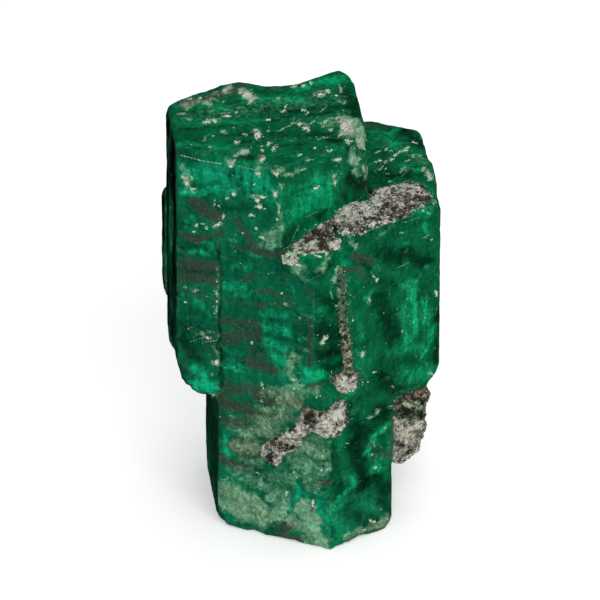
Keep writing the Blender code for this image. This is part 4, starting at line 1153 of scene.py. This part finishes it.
def zones(places, normals, tree):
    """The zones' strengths at each place: those given, painted shade on faces turned left, and random
    ones on the hidden sides.
    """
    kinds = (*SHOWN_KINDS, "clear", "rough", "worn")
    found = {kind: np.zeros(len(places)) for kind in kinds}
    moved = wobbled(places, 1.8 * MM, 0.5, 50, 3)
    paint(found, moved, tree, STROKES, np.hypot)
    halos = [halo(*blotch) for blotch in BLOTCHES]
    paint(found, moved, tree, [("fleck", *halos)], np.maximum)
    found["pale"] *= 1 - np.clip(found["clear"], 0.0, 1.0)
    found["leaf"] = ease(-0.5, 0.3, normals[:, 0] + 0.6 * normals[:, 2])
    # Painted shade: faces turned to the left are darkened through the dark zone, broken up by noise and
    # weaker low down.
    uneven = 0.75 + 1.1 * layered_noise(places, (2.2 * MM, 2.2 * MM, 8 * MM), 71, 3)
    painted_left_shade = ease(0.7, 0.98, -normals[:, 0]) * np.clip(1.35 * uneven, 0.1, 1.5)
    painted_left_shade *= 0.45 + 0.55 * ease(18 * MM, 24 * MM, places[:, 2])
    found["dark"] = np.maximum(found["dark"], painted_left_shade)
    random = np.random.default_rng(ZONE_SEED)
    _, back, _, _ = camera_axes()
    hidden = np.flatnonzero(normals @ np.array(back) < 0.02)
    kinds = ("bright", "dark", "brown", "pale", "fleck", "fleck")
    for _ in range(HIDDEN_STROKES):
        start = places[random.choice(hidden)]
        normal = normals[random.choice(hidden)]
        kind = kinds[random.integers(len(kinds))]
        run = random.normal(size=3) * np.array((1.0, 1.0, random.choice((0.15, 1.6))))
        run = run / np.linalg.norm(run) * random.uniform(0.5, 5.0) * MM
        radius = random.uniform(0.5, 1.9) * MM * (0.6 if kind == "fleck" else 1.0)
        weight = stroke_weight(moved, start, start + run, radius) * random.uniform(0.5, 1.0)
        found[kind] = np.maximum(found[kind], weight)
    return found


def crystal_relief(places, normals, edge_away, found, settings):
    """How far each vertex moves out along its normal."""
    shares = {
        "all": 1.0,
        "sides": 1 - ease(0.25, 0.6, np.abs(normals[:, 2])),
        "tops": ease(0.6, 0.9, normals[:, 2]),
        "broken": ease(0.3, 0.7, -normals[:, 2]) + found["rough"],
        "pale": found["pale"],
    }
    out = np.zeros(len(places))
    for where, height, size, seed, layers in RELIEF:
        out += shares[where] * height * MM * layered_noise(places, size, seed, layers)
    away, number = grains(places, 1.5 * MM, 23)
    pits = (number < 0.22 + 0.3 * found["fleck"]) * (1 - ease(0.1 * MM, 0.6 * MM, away))
    out -= settings.pit_depth * pits
    near = 1 - np.clip(edge_away / settings.wear_width, 0.0, 1.0)
    chipped = ease(0.0, 0.45, layered_noise(places, 1.4 * MM, 31, 3))
    out -= (settings.chip_depth * chipped + settings.edge_rounding) * near * near
    return out


def hug(places, nodes):
    """Pull the places next to these nodes against them, so that no slit shows between."""
    margin = Vector((HUG_REACH, HUG_REACH, HUG_REACH))
    for node in nodes:
        tree = surface(frame["nodes"][node])
        low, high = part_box(node)
        low, high = np.array(low - margin), np.array(high + margin)
        for k in np.flatnonzero(np.all((places > low) & (places < high), axis=1)):
            place = Vector(places[k])
            point, _, _, away = tree.find_nearest(place)
            if away < HUG_REACH:
                share = 1 - ease(HUG_GAP * 1.3, HUG_REACH, away)
                places[k] = place + (point - place) * (HUG_DEPTH * share)
    return places


def blotch_flakes(tree, random):
    """Small flakes in ragged clumps over the blotches, the lightest in the middle of each."""
    unit = frame_unit()
    _, _, right, up = camera_axes()
    rows = []
    for x, y, width, height, turn, light in BLOTCHES:
        cos, sin = math.cos(math.radians(turn)), math.sin(math.radians(turn))
        clumps = random.normal(size=(2 + int(width * height / 12), 2)) * 0.4
        for _ in range(int(7 + 1.2 * width * height)):
            clump = clumps[random.integers(len(clumps))]
            share = clump + random.normal(size=2) * 0.28
            a, b = share * (width, height) / 2
            ray = camera_ray(x + a * cos - b * sin, y - a * sin - b * cos)
            point, normal, _, _ = tree.ray_cast(*ray)
            if point is None:
                continue
            tilt = (normal + Vector(random.normal(size=3) * 0.3)).normalized()
            guide = right * random.normal() + up * random.normal()
            first = (guide - tilt * guide.dot(tilt)).normalized()
            radius = random.uniform(0.35, 1.05) * unit
            tone = light * (1.2 - 0.3 * min(1.5, share @ share)) + random.uniform(-0.5, 0.1)
            second = tilt.cross(first) * radius * random.uniform(0.4, 1.0)
            rows.append((point, tilt, first * radius, second, BLOTCH_FLAKE_THICKNESS, tone))
    return rows


def scratch_slivers(tree, random):
    """Thin slivers end to end along the scratches."""
    rows = []
    for x, y, to_x, to_y, light in SCRATCHES:
        steps = SLIVERS_IN_SCRATCH
        ends = [
            landing(tree, x + (to_x - x) * k / steps, y + (to_y - y) * k / steps)
            for k in range(steps + 1)
        ]
        for (start, normal), (end, _) in zip(ends, ends[1:]):
            half = (end - start) / 2
            if half.length > LONGEST_SLIVER:
                continue
            beside = normal.cross(half).normalized() * random.uniform(0.025, 0.05) * MM
            tone = light + random.uniform(-0.15, 0.1)
            middle = (start + end) / 2
            rows.append((middle, normal, half * 1.1, beside, SLIVER_THICKNESS, tone))
    return rows


def plate_mesh(name, middles, normals, firsts, seconds, thickness, tones, random, sides=6):
    """Many thin irregular plates as one mesh, each with its own tones."""
    count = len(middles)
    turn = np.arange(sides) / sides * 2 * np.pi
    angle = turn + random.uniform(-0.3, 0.3, (count, sides)) + random.uniform(0, 6, (count, 1))
    reach = random.uniform(0.7, 1.1, (count, sides))
    flat = (
        firsts[:, None] * (np.cos(angle) * reach)[..., None]
        + seconds[:, None] * (np.sin(angle) * reach)[..., None]
    )
    lift = (normals * thickness[:, None] / 2)[:, None]
    top = middles[:, None] + flat * 0.85 + lift
    bottom = middles[:, None] + flat - lift
    corners = np.concatenate([top, bottom], 1).reshape(-1, 3)
    base = np.arange(count)[:, None] * 2 * sides
    ring = np.arange(sides)
    after = (ring + 1) % sides
    caps = base + ring
    floors = base + sides + ring[::-1]
    walls = np.stack([ring, ring + sides, after + sides, after], 1)[None] + base[..., None]
    faces = []
    for k in range(count):
        faces.append(caps[k].tolist())
        faces.append(floors[k].tolist())
        faces.extend(walls[k].tolist())
    mesh = bpy.data.meshes.new(name)
    mesh.from_pydata(corners.tolist(), [], faces)
    piece = bpy.data.objects.new(name, mesh)
    bpy.context.scene.collection.objects.link(piece)
    for kind, values in tones.items():
        store(piece, kind, np.repeat(values, 2 * sides))
    return piece


def tangents(normals, random):
    """Two directions in the plane of each normal, turned at random."""
    guide = random.normal(size=normals.shape)
    first = guide - normals * np.sum(guide * normals, 1)[:, None]
    first /= np.linalg.norm(first, axis=1)[:, None]
    return first, np.cross(normals, first)


class EMERALD_OT_crystals(bpy.types.Operator):
    """Dress the emerald: even faces, chipped edges, pits, growth lines and colour zones"""

    bl_idname = "emerald.crystals"
    bl_label = "Crystals"

    def execute(self, context):
        settings = context.scene.crystal_settings
        piece = merged_copy("emerald_crystals", "emerald")
        ridges, outward = crease_points(piece)
        remesh(piece, settings.mesh_size)
        snap_to_creases(piece, ridges, settings.mesh_size * SNAP_SHARE)
        places = points_of(piece)
        edge_away = distances(places, [p for p, out in zip(ridges, outward) if out])
        near = 1 - ease(0.4 * MM, 0.9 * MM, edge_away)
        move_points(piece, smooth_near(piece, places, EDGE_SMOOTHING * near, EDGE_ROUNDS))
        tree = surface(piece)
        places, normals = points_of(piece), normals_of(piece)
        found = zones(places, normals, tree)
        out = crystal_relief(places, normals, edge_away, found, settings)
        moved = places + normals * out[:, None]
        moved[:, 2] += settings.top_growth * ease(0.1, 0.6, normals[:, 2])
        worn = CORNER_SMOOTHING * np.clip(found["worn"], 0.0, 1.0)
        moved = smooth_near(piece, moved, worn, CORNER_ROUNDS)
        move_points(piece, hug(moved, SCHIST_NODES))
        for kind in (*SHOWN_KINDS, "leaf"):
            store(piece, kind, found[kind])
        store(piece, "wear", 1 - ease(0.0, settings.wear_width, edge_away))
        make_active(piece)
        bpy.ops.object.shade_smooth_by_angle(angle=SMOOTH_ANGLE)
        piece.data.materials.append(emerald_material(settings))
        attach(piece, "root")
        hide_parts("emerald_crystals")
        return {"FINISHED"}


class EMERALD_OT_flecks(bpy.types.Operator):
    """Set mica flakes and thin scratches on the crystals"""

    bl_idname = "emerald.flecks"
    bl_label = "Mica flecks"

    def execute(self, context):
        settings = context.scene.crystal_settings
        random = np.random.default_rng(FLECK_SEED)
        emerald = bpy.data.objects["emerald"]
        tree = surface(emerald)
        rows = blotch_flakes(tree, random) + scratch_slivers(tree, random)
        weight = read(emerald.data.attributes["fleck"].data, "value")
        places, normals = points_of(emerald), normals_of(emerald)
        rim = np.zeros(len(places))
        for node in SCHIST_NODES:
            near = surface(frame["nodes"][node])
            away = np.array([near.find_nearest(Vector(place))[3] for place in places])
            rim = np.maximum(rim, 1 - ease(0.0, RIM_WIDTH, away))
        chance = COMMON_CHANCE + ZONE_CHANCE * weight + RIM_CHANCE * rim
        chosen = np.flatnonzero(random.uniform(size=len(places)) < chance)
        first, second = tangents(normals[chosen], random)
        for k, index in enumerate(chosen):
            size = random.uniform(0.05, 0.16) * MM
            tilt = Vector(normals[index] + random.normal(size=3) * 0.22).normalized()
            beside = Vector(second[k]) * size * random.uniform(0.4, 0.9)
            tone = random.uniform(0.05, 0.7)
            rows.append((Vector(places[index]), tilt, Vector(first[k]) * size, beside,
                         PLATE_THICKNESS, tone))
        *columns, tones = (np.array(column, float) for column in zip(*rows))
        piece = plate_mesh("mica_flecks", *columns, {"tone": tones}, random, 5)
        edit_whole(piece, bpy.ops.mesh.normals_make_consistent, inside=False)
        piece.data.materials.append(mica_material(settings))
        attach(piece, "root")
        return {"FINISHED"}


# ---------------------------------------------------------------------------------------------
# the schist


def join_into(piece, other):
    """Join a second piece into the first."""
    deselect()
    other.select_set(True)
    piece.select_set(True)
    bpy.context.view_layer.objects.active = piece
    bpy.ops.object.join()


def schist_tones(places, node, tree):
    """The tones that the strokes give each place of a body of schist."""
    kinds = ("light", "dark", "brown", "green", "grown")
    found = {kind: np.zeros(len(places)) for kind in kinds}
    moved = wobbled(places, 0.8 * MM, 0.3, 80, 2)
    paint(found, moved, tree, SCHIST_STROKES[node], np.maximum)
    found["shift"] = 0.38 * found["light"] - 0.45 * found["dark"]
    return found


def schist_piece(node, settings, material, seed):
    """One body of schist, with its grain and its loose mica plates."""
    random = np.random.default_rng(seed)
    swell, rough, lighter, contrast = SCHIST_LOOKS[node]
    piece = merged_copy(node, node.replace("schist", "mica_schist"))
    remesh(piece, settings.mesh_size)
    tree = surface(piece)
    places, normals = points_of(piece), normals_of(piece)
    away, number = grains(places, GRAIN_SIZE, seed)
    _, small_number = grains(places, SMALL_GRAIN_SIZE, seed + 9)
    out = GRAIN_HEIGHT * (number - 0.5) * 2 - 0.2 * away
    out += SMALL_GRAIN_HEIGHT * (small_number - 0.5) * 2
    out += LUMP_HEIGHT * layered_noise(places, LUMP_SIZE, seed + 20, 2)
    found = schist_tones(places, node, tree)
    grown = np.clip(found["grown"], 0.0, 1.0)
    out = swell + rough * out + 0.2 * MM * np.clip(found["green"], 0.0, 0.9)
    out = out * (1 - 0.8 * grown) - 0.06 * MM * grown
    move_points(piece, places + normals * out[:, None])
    make_active(piece)
    bpy.ops.object.shade_flat()
    dim = ease(0.1, 0.6, layered_noise(places, DIM_SIZE, seed + 30, 2))
    tone = -0.25 * dim + 0.42 * (number - 0.5) + 0.2 * (small_number - 0.5)
    store(piece, "tone", 0.5 + lighter + contrast * tone + found["shift"])
    for kind in ("brown", "green", "grown"):
        store(piece, kind, found[kind])

    faces = piece.data.polygons
    areas = read(faces, "area")
    count = int(areas.sum() / MM**2 * settings.plates_per_square_mm)
    chosen = random.choice(len(areas), count, p=areas / areas.sum())
    middles, facing = read(faces, "center", 3)[chosen], read(faces, "normal", 3)[chosen]
    tilts = facing + random.normal(size=(count, 3)) * 0.45
    tilts /= np.linalg.norm(tilts, axis=1)[:, None]
    first, second = tangents(tilts, random)
    size = settings.plate_size / 2 * random.uniform(0.4, 1.3, count)
    size *= np.where(random.uniform(size=count) < 0.06, 1.8, 1.0)
    dim = ease(0.1, 0.6, layered_noise(middles, DIM_SIZE, seed + 30, 2))
    found = schist_tones(middles, node, tree)
    tones = random.choice(PLATE_TONES, count, p=PLATE_SHARES)
    size *= np.where(random.uniform(size=count) < found["grown"], 0.05, 1.0)
    kept = {
        "tone": 0.56 + lighter + contrast * (tones - 0.25 * dim) + found["shift"],
        "brown": found["brown"],
        "green": found["green"],
        "grown": 0.5 * found["grown"],
    }
    middles = middles + facing * random.uniform(-0.08, 0.08, (count, 1)) * MM
    second = second * (size * random.uniform(0.5, 1.0, count))[:, None]
    thickness = np.full(count, PLATE_THICKNESS)
    plates = plate_mesh(
        node + "_plates", middles, tilts, first * size[:, None], second, thickness, kept, random
    )
    edit_whole(plates, bpy.ops.mesh.normals_make_consistent, inside=False)
    join_into(piece, plates)
    piece.data.materials.clear()
    piece.data.materials.append(material)
    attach(piece, "root")
    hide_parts(node)
    return piece


class EMERALD_OT_schist(bpy.types.Operator):
    """Dress the four bodies of mica schist with grain and plates"""

    bl_idname = "emerald.schist"
    bl_label = "Mica schist"

    def execute(self, context):
        settings = context.scene.schist_settings
        material = schist_material(settings)
        for k, node in enumerate(SCHIST_NODES):
            schist_piece(node, settings, material, FIRST_SCHIST_SEED + 40 * k)
        return {"FINISHED"}


# ---------------------------------------------------------------------------------------------
# the studio


def area_light(name, place, target, size, power):
    """A square soft light that faces a point."""
    bpy.ops.object.light_add(type="AREA", location=place)
    light = bpy.context.object
    light.name = light.data.name = name
    light.data.size = size
    light.data.energy = power
    light.rotation_euler = (Vector(target) - Vector(place)).to_track_quat("-Z", "Y").to_euler()
    return light


class EMERALD_OT_studio(bpy.types.Operator):
    """Set up the camera, the soft lights and the pale floor"""

    bl_idname = "emerald.studio"
    bl_label = "Studio"

    def execute(self, context):
        scene, settings = context.scene, context.scene.studio_settings
        deselect()
        place, back, _, _ = camera_axes()
        bpy.ops.object.camera_add(location=place)
        camera = context.object
        camera.name = camera.data.name = "studio_camera"
        camera.data.lens = settings.lens
        camera.data.sensor_width = SENSOR_WIDTH
        camera.data.clip_start, camera.data.clip_end = 0.01, 20.0
        camera.rotation_euler = (-back).to_track_quat("-Z", "Y").to_euler()
        scene.camera = camera

        middle = (0, 0, (FOOT + CROWN) / 2)
        for name, spot, size, power in LIGHTS:
            area_light(name, spot, middle, size, getattr(settings, power))

        bpy.ops.mesh.primitive_circle_add(vertices=96, radius=FLOOR_RADIUS, fill_type="NGON")
        floor = context.object
        floor.name = floor.data.name = "floor"
        look = (settings.floor_color, FLOOR_ROUGHNESS, settings.floor_glow)
        floor.data.materials.append(studio_material("floor_paper", *look))
        floor.visible_glossy = False

        world = bpy.data.worlds.new("studio_air")
        scene.world = world
        world.use_nodes = True
        background = world.node_tree.nodes["Background"]
        background.inputs["Color"].default_value = (1.0, 1.0, 1.0, 1.0)
        background.inputs["Strength"].default_value = settings.fill_strength
        world.cycles_visibility.glossy = False
        scene.view_settings.view_transform = "Standard"
        return {"FINISHED"}


class EMERALD_PT_panel(bpy.types.Panel):
    """The dresser's panel"""

    bl_label = "Raw emerald crystal"
    bl_idname = "EMERALD_PT_panel"
    bl_space_type = "VIEW_3D"
    bl_region_type = "UI"
    bl_category = "Emerald"

    def draw(self, context):
        layout = self.layout
        for title, group, operators in PANEL_ROWS:
            box = layout.box()
            box.label(text=title)
            settings = getattr(context.scene, group)
            for name in settings.__annotations__:
                box.prop(settings, name)
            for operator in operators:
                box.operator(operator)


PANEL_ROWS = (
    ("Crystals", "crystal_settings", ("emerald.crystals", "emerald.flecks")),
    ("Schist", "schist_settings", ("emerald.schist",)),
    ("Studio", "studio_settings", ("emerald.studio",))
)

GROUPS = (
    ("crystal_settings", CrystalSettings), ("schist_settings", SchistSettings),
    ("studio_settings", StudioSettings)
)

OPERATORS = (EMERALD_OT_crystals, EMERALD_OT_flecks, EMERALD_OT_schist, EMERALD_OT_studio)
CLASSES = (*(group for _, group in GROUPS), *OPERATORS, EMERALD_PT_panel)


def register():
    """Register the classes and hang the settings on the scene."""
    for kind in CLASSES:
        bpy.utils.register_class(kind)
    for name, group in GROUPS:
        setattr(bpy.types.Scene, name, bpy.props.PointerProperty(type=group))


def unregister():
    """Take the settings off the scene and unregister the classes."""
    for name, _ in GROUPS:
        delattr(bpy.types.Scene, name)
    for kind in reversed(CLASSES):
        bpy.utils.unregister_class(kind)


def main():
    """Dress the whole group and set up the studio."""
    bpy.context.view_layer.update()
    register()
    bpy.ops.emerald.crystals()
    bpy.ops.emerald.flecks()
    bpy.ops.emerald.schist()
    bpy.ops.emerald.studio()


if __name__ == "__main__":
    main()
